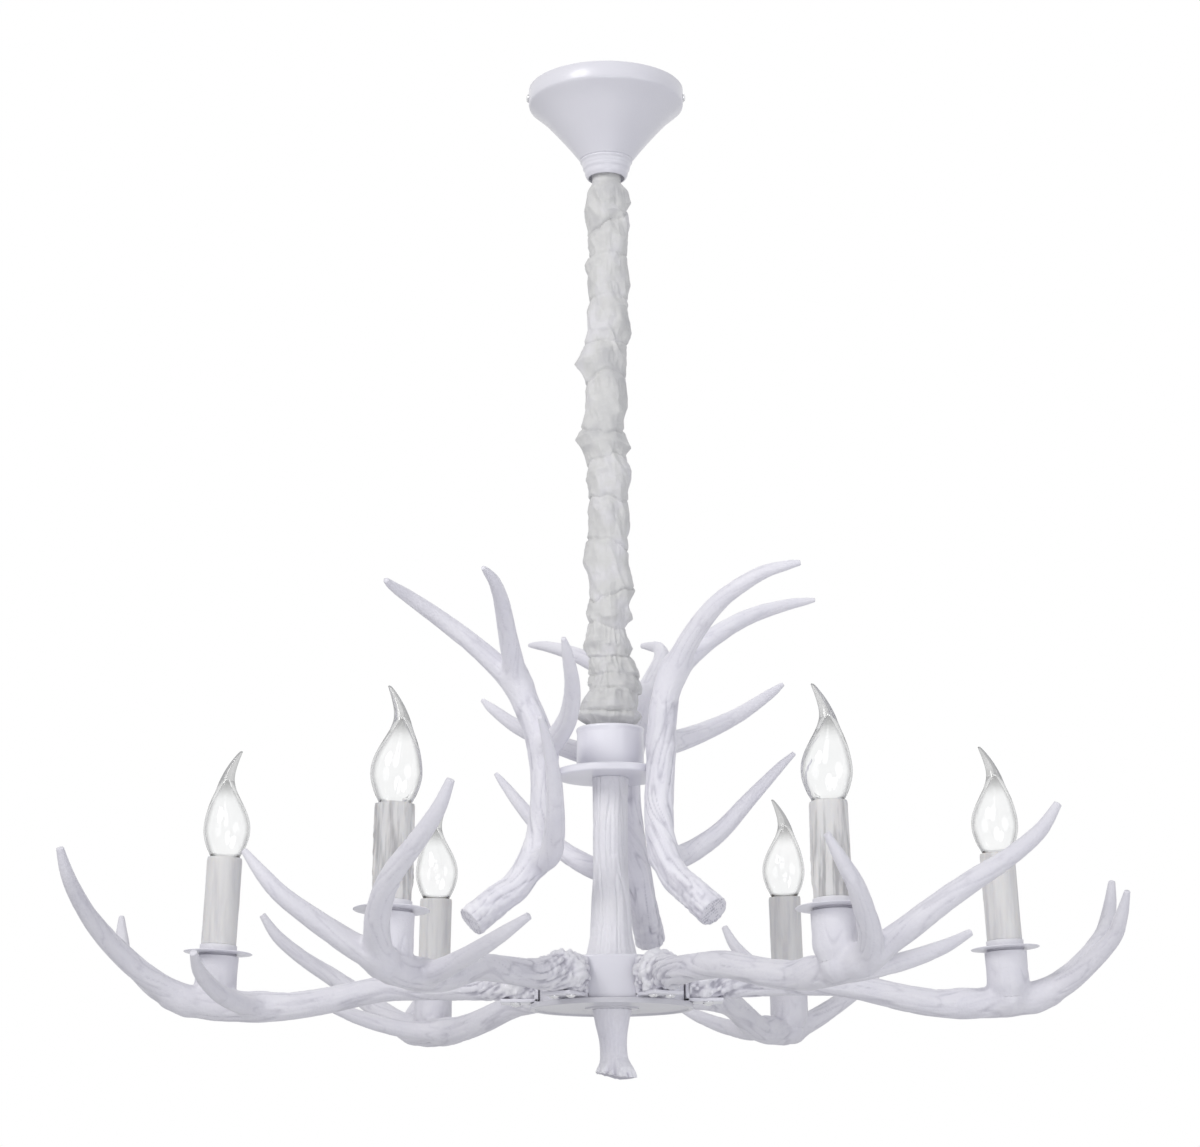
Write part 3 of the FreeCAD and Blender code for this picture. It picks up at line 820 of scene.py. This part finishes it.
def upright_mesh():
    limbs = [
        Limb(UP_BEAM, flat_start=True, relief=grooves(0.5, 61, pearls=0.4)),
        Limb(UP_TINE_1, relief=grooves(0.4, 71)), Limb(UP_TINE_2, relief=grooves(0.4, 81)),
        Limb(UP_TINE_3, relief=grooves(0.4, 91)), Limb(UP_TINE_4, relief=grooves(0.4, 101))]
    mesh = carved("upright", limbs, shape=seat_beam)
    groove_shade_marks(mesh, limbs)
    return mesh


def place(name, mesh, paint, slot, node, body="fixture"):
    """One piece: painted, riding on its body, standing for its CAD node."""
    piece = add(name, mesh)
    mesh.materials.clear()
    mesh.materials.append(paint)
    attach(piece, body)
    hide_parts(node)
    return piece


def fit(name, mesh, slot, node, body="fixture"):
    """One piece in its slot's own paint."""
    return place(name, mesh, PAINTS[slot], slot, node, body)


# ---- turned and bent pieces ------------------------------
def smooth_profile(points, step=1.5):
    """A smooth curve through (radius, z) points."""
    samples = spline([(r, 0, z, 0) for r, z in points], step)
    return [(sample[0], sample[2]) for sample in samples]


def barrel(name, heights, reach, sides=144, core=None):
    """A tube whose outside follows reach(angles, z); core is its bore, or None when solid."""
    angles = full_turn(sides)
    rows = [(reach(angles, z), z) for z in heights]
    if core is not None:
        rows += [(np.full(sides, core), z) for z in reversed(heights)]
    verts = np.vstack([np.column_stack([r * np.cos(angles), r * np.sin(angles), np.full(sides, z)])
                       for r, z in rows])
    faces = ring_faces(len(rows), sides, closed=core is not None)
    if core is None:
        faces += end_faces(len(verts), sides)
    return outward(mesh_from(name, verts * MM, faces))


def joined(name, meshes):
    """Several meshes as one."""
    whole = bmesh.new()
    for mesh in meshes:
        whole.from_mesh(mesh)
    made = bpy.data.meshes.new(name)
    whole.to_mesh(made)
    whole.free()
    return made


def carved_away(mesh, cutter):
    """The mesh with the cutter taken out of it."""
    body = add("body", mesh)
    tool = add("cutter", cutter)
    cut = body.modifiers.new("cut", "BOOLEAN")
    cut.object = tool
    cut.solver = "EXACT"
    made = applied(body)
    bpy.data.objects.remove(tool)
    return made


def cuboid(name, low, high, bevel=0.0):
    """A block between two corners; bevel rounds its edges."""
    made = bmesh.new()
    bmesh.ops.create_cube(made, size=1)
    size = [(b - a) * MM for a, b in zip(low, high)]
    middle = [(a + b) / 2 * MM for a, b in zip(low, high)]
    made.transform(Matrix.Translation(middle) @ Matrix.Diagonal((*size, 1)))
    if bevel:
        bmesh.ops.bevel(made, geom=made.edges, offset=bevel * MM, segments=2, profile=0.5, affect="EDGES")
    mesh = bpy.data.meshes.new(name)
    made.to_mesh(mesh)
    made.free()
    return mesh


def shifted(mesh, x, y, z):
    return moved(mesh, Matrix.Translation((x * MM, y * MM, z * MM)))


def loop(path):
    """Round wire bent round a closed path in the XZ plane."""
    path = np.array(path)
    ahead = np.roll(path, -1, axis=0) - np.roll(path, 1, axis=0)
    ahead = ahead / np.linalg.norm(ahead, axis=1)[:, None]
    out = np.column_stack([-ahead[:, 1], ahead[:, 0]])
    verts = []
    for (x, z), (ox, oz) in zip(path, out):
        for corner in range(WIRE_SIDES):
            turn = 2 * math.pi * corner / WIRE_SIDES
            reach = WIRE * math.cos(turn)
            verts.append((x + ox * reach, WIRE * math.sin(turn), z + oz * reach))
    return outward(mesh_from("loop", np.array(verts) * MM, ring_faces(len(path), WIRE_SIDES)))


def link_path(hole, top, length):
    """Centre line of a link with that inner radius and length, its inner top at top."""
    radius = hole + WIRE
    centre = top - hole
    drop = length - 2 * hole
    steps = 24
    upper = [(radius * math.cos(a), centre + radius * math.sin(a))
             for a in np.linspace(0, math.pi, steps)]
    lower = [(radius * math.cos(a), centre - drop + radius * math.sin(a))
             for a in np.linspace(math.pi, 2 * math.pi, steps)]
    if drop < TINY:
        lower = lower[1:-1]
    return upper + lower


def slotted_screw(head_r, head_h, shank_r, shank_l):
    """A domed, slotted screw standing on z = 0, with its shank going down."""
    dome = [(head_r * math.cos(a), head_h * math.sin(a)) for a in np.linspace(0.15, math.pi / 2, 9)]
    dome[-1] = (0, head_h)
    profile = [(0, -shank_l), (shank_r - 0.5, -shank_l), (shank_r, -shank_l + 0.8), (shank_r, 0),
               (head_r, 0)] + dome
    screw = turned("screw", profile, 40, closed=False)
    slot_half = head_r + 1
    cutter = cuboid("slot", (-slot_half, -0.45, head_h - 0.9), (slot_half, 0.45, head_h + 1))
    return carved_away(screw, cutter)


# ---- ceiling end -----------------------------------------
def canopy_mesh():
    flank = [(CANOPY_R - 0.3, -CANOPY_BAND - 1.2), (51, -22), (41.5, -32.5), (31, -45),
             (NECK_R + 0.5, -CANOPY_H + 1)]
    outside = [(CANOPY_R - 0.4, 0), (CANOPY_R, -0.5), (CANOPY_R, -CANOPY_BAND)] + smooth_profile(flank)
    inside = [(r - SHEET * 0.8, z + SHEET * 0.6) for r, z in reversed(smooth_profile(flank))]
    inside[0] = (NECK_R - 3, -CANOPY_H + SHEET)
    inside += [(CANOPY_R - SHEET, -CANOPY_BAND), (CANOPY_R - SHEET, -0.4)]
    bottom = [(NECK_R, -CANOPY_H), (NECK_R - 3, -CANOPY_H)]
    return turned("canopy", outside + bottom + inside, 160)


def collar_mesh():
    """Ferrule with two turned beads."""
    outside = [(17.4, -54), (17.4, -58.9), (20.5, -59), (20.6, -60.2), (19.4, -61.6), (19.0, -63.4),
               (18.6, -64.4), (18.3, -66.4), (17.2, -68.0), (16.9, -70.0), (16.6, -71.4), (15.9, -72.6),
               (15.2, -73.7), (14.6, COLLAR_BOTTOM)]
    inside = [(14.0, COLLAR_BOTTOM + 0.2), (15.9, -59), (16, -54)]
    return turned("collar", rounded(outside + inside, 0.6), 120)


# ---- chain and sleeve ------------------------------------
def ring_mesh(bar_z):
    return spun(loop(link_path(RING_HOLE, bar_z + SEAT, 2 * RING_HOLE)), 90)


def chain_mesh():
    links = []
    for number in range(LINKS):
        top = CHAIN_TOP + SEAT - number * (LINK_INSIDE + WIRE - SEAT)
        links.append(spun(loop(link_path(LINK_HOLE, top, LINK_INSIDE)), 90 * (number % 2)))
    return joined("chain", links)


def ceiling_eye_mesh():
    eye_z = SWING_Z + RING_HOLE + WIRE
    eye = loop(link_path(RING_HOLE, eye_z + RING_HOLE, 2 * RING_HOLE))
    outline = [(3, -2), (5, -2), (5, -42), (7, -42.4), (7, -46), (5.5, -48.5), (3, -49)]
    stem = turned("stem", rounded(outline), 48)
    return joined("eye", [eye, stem])


def column_eye_mesh():
    eye_z = TILT_Z + SEAT - RING_HOLE
    eye = loop(link_path(RING_HOLE, eye_z + RING_HOLE, 2 * RING_HOLE))
    foot = turned("shank", [
        (0, CAP_TOP - 12), (7.6, CAP_TOP - 12), (8, CAP_TOP - 11.6), (8, CAP_TOP - 8.1), (5, CAP_TOP - 8),
        (5, CAP_TOP + 0.3), (7.1, CAP_TOP + 0.3), (7.5, CAP_TOP + 0.7), (7.5, CAP_TOP + 2.2),
        (6, CAP_TOP + 2.8), (5, CAP_TOP + 4.5), (3.6, eye_z - 8.5), (0, eye_z - 8)], 48, closed=False)
    return joined("column_eye", [eye, foot])


def crease_lines(circle):
    """Heights of the creases round the sleeve, from its neck down."""
    angles = np.arctan2(circle[:, 1], circle[:, 0])
    lines = []
    z = CLOTH_NECK
    while z > CLOTH_BOTTOM + 5:
        fold = len(lines)
        crowd = smooth(-z, 400, 470)
        pace = FOLD_STEP + (FOOT_STEP - FOLD_STEP) * crowd
        here = np.array([[fold * 1.7, 0.4, 0.2], [fold * 2.9, 3.4, 1.2], [fold * 2.3, 7.4, 5.2]])
        stretch, tilt, way = noise(here, 5)
        sway = 0.30 * pace * tilt * np.cos(angles - 6 * way)
        wobble = 0.10 * pace * ripple(circle * 1.7, fold * 3.1, 9)
        lines.append(z + (sway + wobble if fold else 0 * angles))
        z -= pace * (1 + 0.42 * stretch)
    lines.append(np.full(len(circle), CLOTH_BOTTOM - 1))
    return np.array(lines)


def ear_swell(angles, z):
    """How far the ears stand out round the cloth at height z."""
    swell = np.zeros(len(angles))
    for height, azimuth, stand, half in EARS:
        turn = np.abs((angles - math.radians(azimuth) + math.pi) % (2 * math.pi) - math.pi)
        fall = np.clip(1 - abs(z - height) / half, 0, 1)
        swell = np.maximum(swell, stand * fall ** 1.2 * np.clip(np.cos(turn * 1.3), 0, 1))
    return swell


def cloth_wall(z, free, angles, circle, creases):
    """Radius of the cloth round height z, and how far it hangs below z; free is 0 in the neck."""
    column = np.arange(CLOTH_SIDES)
    above = np.clip((creases > z).sum(0) - 1, 0, len(creases) - 2)
    top = creases[above, column]
    span = top - creases[above + 1, column]
    part = np.clip((top - z) / span, 0, 1)

    # slack between two creases, widest at its peak
    peak = 0.48 + 0.34 * ripple(circle * 0.9, above * 3.7 + 0.6, 11)
    slope = np.where(part < peak, part / peak, (1 - part) / (1 - peak))
    looseness = ripple(circle * 1.25, above * 2.7 + 0.3, 12)
    slack = (0.9 + 4.0 * np.clip(looseness - 0.05, 0, 1)) * np.clip(span / 22, 0.45, 1.15)
    swell = np.maximum(slack * slope ** 1.15, ear_swell(angles, z))

    # creases pinched in, mended here and there, with slanting ridges and finer wrinkles
    mend = np.clip(0.7 + 1.1 * ripple(circle * 1.1, above * 5.1, 18), 0.3, 1)
    pinch = mend * np.exp(-(np.minimum(part, 1 - part) * span / 1.3) ** 2)
    slant = beside(unit_circle(angles + z / 38) * 1.5, z / 19)
    ridge = valleys(noise(slant, 14), 2.2, low=-0.5)
    fine = valleys(ripple(circle * 4.2, z / 7, 15), 2.4, low=-0.4)
    wrinkled = 0.3 + 0.7 * smooth(-z, 400, 480)
    radius = CLOTH_R - 0.6 + swell - 1.7 * pinch + 1.6 * ridge + wrinkled * fine

    # the foot piles up over the cap, lower to the right, and its hem is tucked in
    begin = 466 - 13 * circle[:, 0]
    tuck = 504 + 2.5 * noise(circle * 1.6 @ np.eye(2, 3), 20)
    pile = smooth(-z, begin, begin + 26) * (1 - 0.8 * smooth(-z, tuck, tuck + 8))
    rolls = 1 + 0.35 * ripple(circle * 2, above * 1.3, 19)
    radius = radius + pile * (FOOT_R - CLOTH_R) * rolls
    radius = NECK_CLOTH + free * (np.maximum(radius, CLOTH_LEAST) - NECK_CLOTH)
    return radius, 0.35 * swell * free * (1 - pile)


def sleeve_mesh():
    """A long cloth tube pushed down over the chain: slack spans, ears and pinched creases."""
    angles = full_turn(CLOTH_SIDES)
    circle = unit_circle(angles)
    creases = crease_lines(circle)
    outer = []
    inner = []
    for z in np.linspace(CLOTH_TOP, CLOTH_BOTTOM, CLOTH_ROWS):
        free = smooth(CLOTH_NECK - z, 0, 9)
        radius, drop = cloth_wall(z, free, angles, circle, creases)
        held = 1 - 0.8 * smooth(-z, 440, 500)
        lean = 2.4 * free * held * noise(np.array([[z / 55, 0.3, 0.7], [z / 48, 5.3, 0.1]]), 17)
        for wall, reach in ((outer, radius), (inner, radius - CLOTH)):
            wall.append(beside(reach[:, None] * circle + lean, z - drop))
    verts = np.vstack(outer + inner[::-1])
    return outward(mesh_from("sleeve", verts * MM, ring_faces(2 * CLOTH_ROWS, CLOTH_SIDES)))


# ---- column and hub --------------------------------------
def cap_mesh():
    """Cup with a rolled rim, and the flange that the upright antlers are bolted to."""
    profile = [(5.1, CAP_TOP - 1.5), (22.0, CAP_TOP - 1.7), (23.2, CAP_TOP - 0.4), (24.4, CAP_TOP),
               (25.4, CAP_TOP - 0.6), (25.7, CAP_TOP - 1.8), (25.2, CAP_TOP - 3.2), (24.9, CAP_TOP - 5),
               (CAP_R, CAP_BOTTOM + 2), (CAP_R + 1, CAP_BOTTOM), (FLANGE_R - 1.2, CAP_BOTTOM),
               (FLANGE_R, CAP_BOTTOM - 1.2), (FLANGE_R, FLANGE_BOTTOM + 1), (FLANGE_R - 1, FLANGE_BOTTOM),
               (9, FLANGE_BOTTOM), (9, CAP_TOP - 7), (5.1, CAP_TOP - 7)]
    return turned("cap", rounded(profile, 0.5), 128)


def column_mesh():
    """Cast trunk: long grooves, a narrow waist and a spread foot."""
    stations = np.array([(COLUMN_R + 0.5, FLANGE_BOTTOM), (COLUMN_R, -575), (COLUMN_R, -623),
                         (COLUMN_R + 1.3, -640), (COLUMN_R + 3, -670), (COLUMN_R + 7, HUB_TOP)])

    def reach(angles, z):
        base = np.interp(-z, -stations[:, 1], stations[:, 0])
        sway = angles + 0.25 * noise(np.array([[z / 50, 0.2, 0.6]]), 33)[0]
        broad = beside(unit_circle(sway) * 2.6, z / 60)
        narrow = beside(unit_circle(sway) * 6, z / 26)
        cuts = 1.1 * valleys(noise(broad, 34), 4)
        small = 0.45 * valleys(noise(narrow, 35), 3)
        return base - cuts - small + 0.5 * noise(broad * 0.7, 36)

    heights = np.linspace(FLANGE_BOTTOM, HUB_TOP, 180)
    return barrel("column", list(heights), reach, 160, core=5.3)


def drum_mesh():
    profile = [(BORE, HUB_TOP), (HUB_R, HUB_TOP), (HUB_R, DISC_TOP), (HUB_R - HUB_WALL, DISC_TOP),
               (HUB_R - HUB_WALL, HUB_TOP - HUB_WALL), (BORE, HUB_TOP - HUB_WALL)]
    return turned("drum", rounded(profile, 1.2, 4), 160)


def disc_mesh():
    profile = [(BORE, DISC_TOP), (DISC_R, DISC_TOP), (DISC_R, DISC_BOTTOM), (DISC_R - 3, DISC_BOTTOM),
               (DISC_R - 3.4, DISC_BOTTOM + 1.2), (20, DISC_BOTTOM + 1.2), (20, DISC_BOTTOM),
               (BORE, DISC_BOTTOM)]
    return turned("disc", rounded(profile, 0.5), 160)


def finial_mesh():
    """Cut stub of antler: waisted, with a rough slanted foot."""
    def relief(travel, turn, radius, length):
        height = grooves(0.14, 121)(travel, turn, radius, length + 60)
        foot = smooth(travel, 36, 48)
        chips = ripple(unit_circle(turn) * 4.2, travel / 6, 123)
        return height + foot * (1.9 * chips + 0.9)
    limb = Limb(FINIAL, flat_start=True, flat_end=True, relief=relief)
    slope = math.tan(math.radians(12))

    def slanted(points):
        rough = 0.9 * noise(points / 5.0, 125) + 0.5 * noise(points / 1.9, 126)
        foot = FINIAL_BOTTOM + 3 - points[:, 0] * slope + rough
        points[:, 2] = np.maximum(points[:, 2], foot)
        return points

    stub = carved("finial", [limb], voxel=0.8, shape=slanted)
    groove_shade_marks(stub, [limb])
    return stub


# ---- arm fittings ----------------------------------------
def bracket_mesh():
    """Bent steel angle under a root."""
    upright = cuboid("upright", (HUB_R, -LEG_HALF, DISC_TOP), (ROOT_R, LEG_HALF, -690), 0.5)
    leg = cuboid("leg", (HUB_R, -LEG_HALF, ROOT_FLAT - LEG_THICK), (LEG_OUT, LEG_HALF, ROOT_FLAT), 0.5)
    return joined("bracket", [upright, leg])


def arm_screw_meshes():
    flip = Matrix.Rotation(math.pi, 4, "X")
    screw = moved(slotted_screw(3.8, 2.1, 2.0, 12), flip)
    return [shifted(screw, 71, side * 7, ROOT_FLAT - LEG_THICK) for side in (-1, 1)]


def pan_mesh():
    profile = [(13.9, PAN_SEAT), (20, PAN_SEAT - 0.1), (25.0, PAN_SEAT + 0.35), (25.5, PAN_SEAT + 0.8),
               (25.0, PAN_SEAT + 1.3), (19, PAN_SEAT + 1.2), (13.9, PAN_SEAT + 1.4)]
    return on_post(turned("pan", rounded(profile, 0.3), 96))


def candle_mesh(drips):
    """Candle tube with runs of wax; drips is their depth in millimetres."""
    def reach(angles, z):
        circle = unit_circle(angles)
        seed = 41 + round(drips * 10)
        runs = np.clip(ripple(circle * 3.2, z / 90, seed) * 1.6, -0.5, 1)
        length = 34 + 26 * ripple(circle * 4, 0, 43)
        above = z - (CANDLE_H - length)
        held = smooth(above, -3, 3)
        drop = np.exp(-(above / 3.0) ** 2)
        lip = 0.35 * math.exp(-((CANDLE_H - z) / 1.2) ** 2)
        return CANDLE_R - 0.5 - lip + drips * runs * (held + 0.7 * drop)

    heights = list(np.linspace(0, CANDLE_H, 90))
    return on_post(barrel("candle", heights, reach, 120, core=12.3))


def holder_mesh():
    top = CANDLE_H - 2.0
    profile = [(BORE, 12), (7.5, 12), (7.5, 27), (10.1, 27), (HOLDER_R, 30), (HOLDER_R, top - 1.2),
               (HOLDER_R - 1.2, top), (7.5, top), (7.5, 36.5), (BORE, 36.5)]
    return on_post(turned("holder", rounded(profile, 0.4), 80))


def bulb_cap_mesh():
    """Screw cap with a rolled thread, its insulator and its contact."""
    sides = 72
    foot = BULB_FOOT - 25
    thread_low = foot + 5.5
    levels = [foot, foot + 1.2, foot + 2.6, foot + 5, thread_low]

    def reach(angles, z):
        if z < thread_low:
            return np.full(len(angles), np.interp(z, levels, [1.2, 2.4, 3.6, 6.4, 6.7]))
        wave = 0.5 + 0.5 * np.cos(2 * math.pi * (z - thread_low) / THREAD_PITCH - angles)
        run_out = smooth(np.array([BULB_FOOT - 3 - z]), 0, 2)[0]
        return 6.95 - 0.75 * wave * run_out

    return on_post(barrel("bulb_cap", list(np.linspace(foot, BULB_FOOT, 110)), reach, sides))


def blown(points, widest):
    """A smooth glass outline, nowhere wider than widest."""
    return [(min(r, widest), z) for r, z in smooth_profile(points, 1.2)]


def bulb_mesh(way):
    """Blown glass flame: a thin shell with a solid bent tail."""
    outline = [(9.0, 0), (10.0, 1), (12.2, 5), (15.0, 11), (17.0, 18), (17.4, 24), (16.5, 31), (14.4, 38),
               (11.4, 45), (8.4, 51.5), (6.1, 58), (4.7, 64), (3.7, 70), (2.8, 75), (1.8, 80), (1.1, 82.4)]
    room = [(8.2, 1.6), (11.2, 5.6), (14.0, 12), (15.8, 18.5), (16.2, 24), (15.2, 31), (13.0, 38),
            (9.9, 44.5), (6.6, 50.5), (3.6, 56), (1.4, 60)]
    outside = [(0, 0.0)] + blown(outline, 17.5) + [(0, 83)]
    void = [(0, 1.6)] + blown(room, 16.2) + [(0, 61)]
    shell = turned("glass", outside, 72, closed=False)
    hollow = turned("void", void, 72, closed=False)
    hollow.flip_normals()
    glass = joined("bulb", [shell, hollow])
    points = coords(glass) / MM
    tail_foot = 58
    tail_bend = 9.5 * (np.clip(points[:, 2] - tail_foot, 0, None) / 25) ** 1.6
    points[:, 0] += tail_bend - 2.5 * smooth(points[:, 2], 26, 56)
    set_coords(glass, points * MM)
    # painted shade: the glass greys up its solid tail
    tail_shade = glass.attributes.new("tail_shade", "FLOAT", "POINT")
    tail_shade.data.foreach_set("value", smooth(points[:, 2], 44, 62).astype(np.float32))
    glass.transform(Matrix.Rotation(math.radians(way), 4, "Z"))
    glass.transform(Matrix.Translation((0, 0, BULB_FOOT * MM)))
    return on_post(glass)


# ---- stage and paints ------------------------------------
camera()
studio()
floor()
PAINTS = {
    "white_resin": resin("white_resin"),
    "white_enamel": enamel("white_enamel"),
    "candle_plastic": candle_plastic("candle_plastic"),
    "sleeve_fabric": sleeve_fabric(),
    "holder_plastic": holder_plastic(),
    "clear_glass": glass(),
    "zinc_steel": metal("zinc_steel", (0.72, 0.73, 0.75), 0.35),
    "bright_steel": metal("bright_steel", (0.82, 0.82, 0.84), 0.25),
    "nickel_brass": metal("nickel_brass", (0.80, 0.78, 0.72), 0.3)}
# lit and shaded copies of one paint: painted shade darkens the arms, trunk and disc, painted light
# brightens the cap
ARM_SHADED_PAINT = resin("white_resin_arms_painted_shade", 0.90)
TRUNK_SHADED_PAINT = resin("white_resin_trunk_painted_shade", 0.93)
CAP_LIT_PAINT = enamel("white_enamel_cap_painted_light", 1.1)
DISC_SHADED_PAINT = enamel("white_enamel_disc_painted_shade", 0.80)
STREAKED = candle_plastic("candle_streaked", 0.42)
for entry in frame["record"]["subparts"]:
    made = frame["nodes"][entry["node"]]
    made.data.materials.clear()
    made.data.materials.append(PAINTS[entry["material_slot"]])

# ---- build: ceiling end ----------------------------------
fit("canopy_cone", canopy_mesh(), "white_enamel", "canopy", "ceiling")
fit("collar", collar_mesh(), "white_enamel", "canopy_collar", "ceiling")
fit("hook_eye", ceiling_eye_mesh(), "zinc_steel", "ceiling_eye", "ceiling")
canopy_screw = slotted_screw(3.6, 2.0, 2.0, 8)
side_screws = []
for side in (-1, 1):
    turn = Matrix.Rotation(side * math.pi / 2, 4, "Y")
    side_screws.append(shifted(moved(canopy_screw, turn), side * CANOPY_R, 0, EAR_SCREW_Z))
fit("side_screws", joined("side_screws", side_screws), "bright_steel", "canopy_screws", "ceiling")

# ---- build: chain and sleeve -----------------------------
fit("upper_ring", ring_mesh(SWING_Z), "zinc_steel", "top_ring", "top_ring")
fit("chain_links", chain_mesh(), "zinc_steel", "chain", "hanger")
fit("lower_ring", ring_mesh(CHAIN_FOOT), "zinc_steel", "bottom_ring", "bottom_ring")
fit("swivel_eye", column_eye_mesh(), "zinc_steel", "column_eye", "column_eye")
sleeve = fit("fabric_sleeve", sleeve_mesh(), "sleeve_fabric", "cloth_sleeve", "hanger")

# ---- build: column and hub -------------------------------
place("cap", cap_mesh(), CAP_LIT_PAINT, "white_enamel", "column_cap")
place("trunk", column_mesh(), TRUNK_SHADED_PAINT, "white_resin", "column")
fit("drum", drum_mesh(), "white_enamel", "hub_drum")
place("disc", disc_mesh(), DISC_SHADED_PAINT, "white_enamel", "hub_disc")
fit("stub", finial_mesh(), "white_resin", "finial")

# ---- build: arms and uprights ----------------------------
arm = arm_mesh()
pan = pan_mesh()
holder = holder_mesh()
cap = bulb_cap_mesh()
turns = [360 / ARMS * number for number in range(ARMS)]
for number, (turn, drips, way) in enumerate(zip(turns, DRIPS, TIP_WAYS), 1):
    tag = "_%d" % number
    bulb = "bulb_%d" % number
    wax = PAINTS["candle_plastic"] if drips < 0.5 else STREAKED
    place("antler_arm" + tag, spun(arm, turn), ARM_SHADED_PAINT, "white_resin", "arm_antler" + tag)
    fit("pan" + tag, spun(pan, turn), "white_enamel", "drip_pan" + tag)
    place("candle" + tag, spun(candle_mesh(drips), turn), wax, "candle_plastic", "candle_sleeve" + tag)
    fit("holder" + tag, spun(holder, turn), "holder_plastic", "lamp_holder" + tag)
    fit("screw_cap" + tag, spun(cap, turn), "nickel_brass", "bulb_cap" + tag, bulb + "_cap")
    fit("bulb" + tag, spun(bulb_mesh(way - turn), turn), "clear_glass", "bulb_glass" + tag, bulb + "_glass")
bracket = bracket_mesh()
brackets = [spun(bracket, turn) for turn in turns]
fit("brackets", joined("brackets", brackets), "white_enamel", "arm_brackets")
screws = arm_screw_meshes()
root_screws = [spun(screw, turn) for turn in turns for screw in screws]
fit("root_screws", joined("root_screws", root_screws), "bright_steel", "arm_screws")
upright = upright_mesh()
for number in range(UPRIGHTS):
    fit("antler_upright_%d" % (number + 1), spun(upright, 360 / UPRIGHTS * number), "white_resin",
        "upright_antler_%d" % (number + 1))
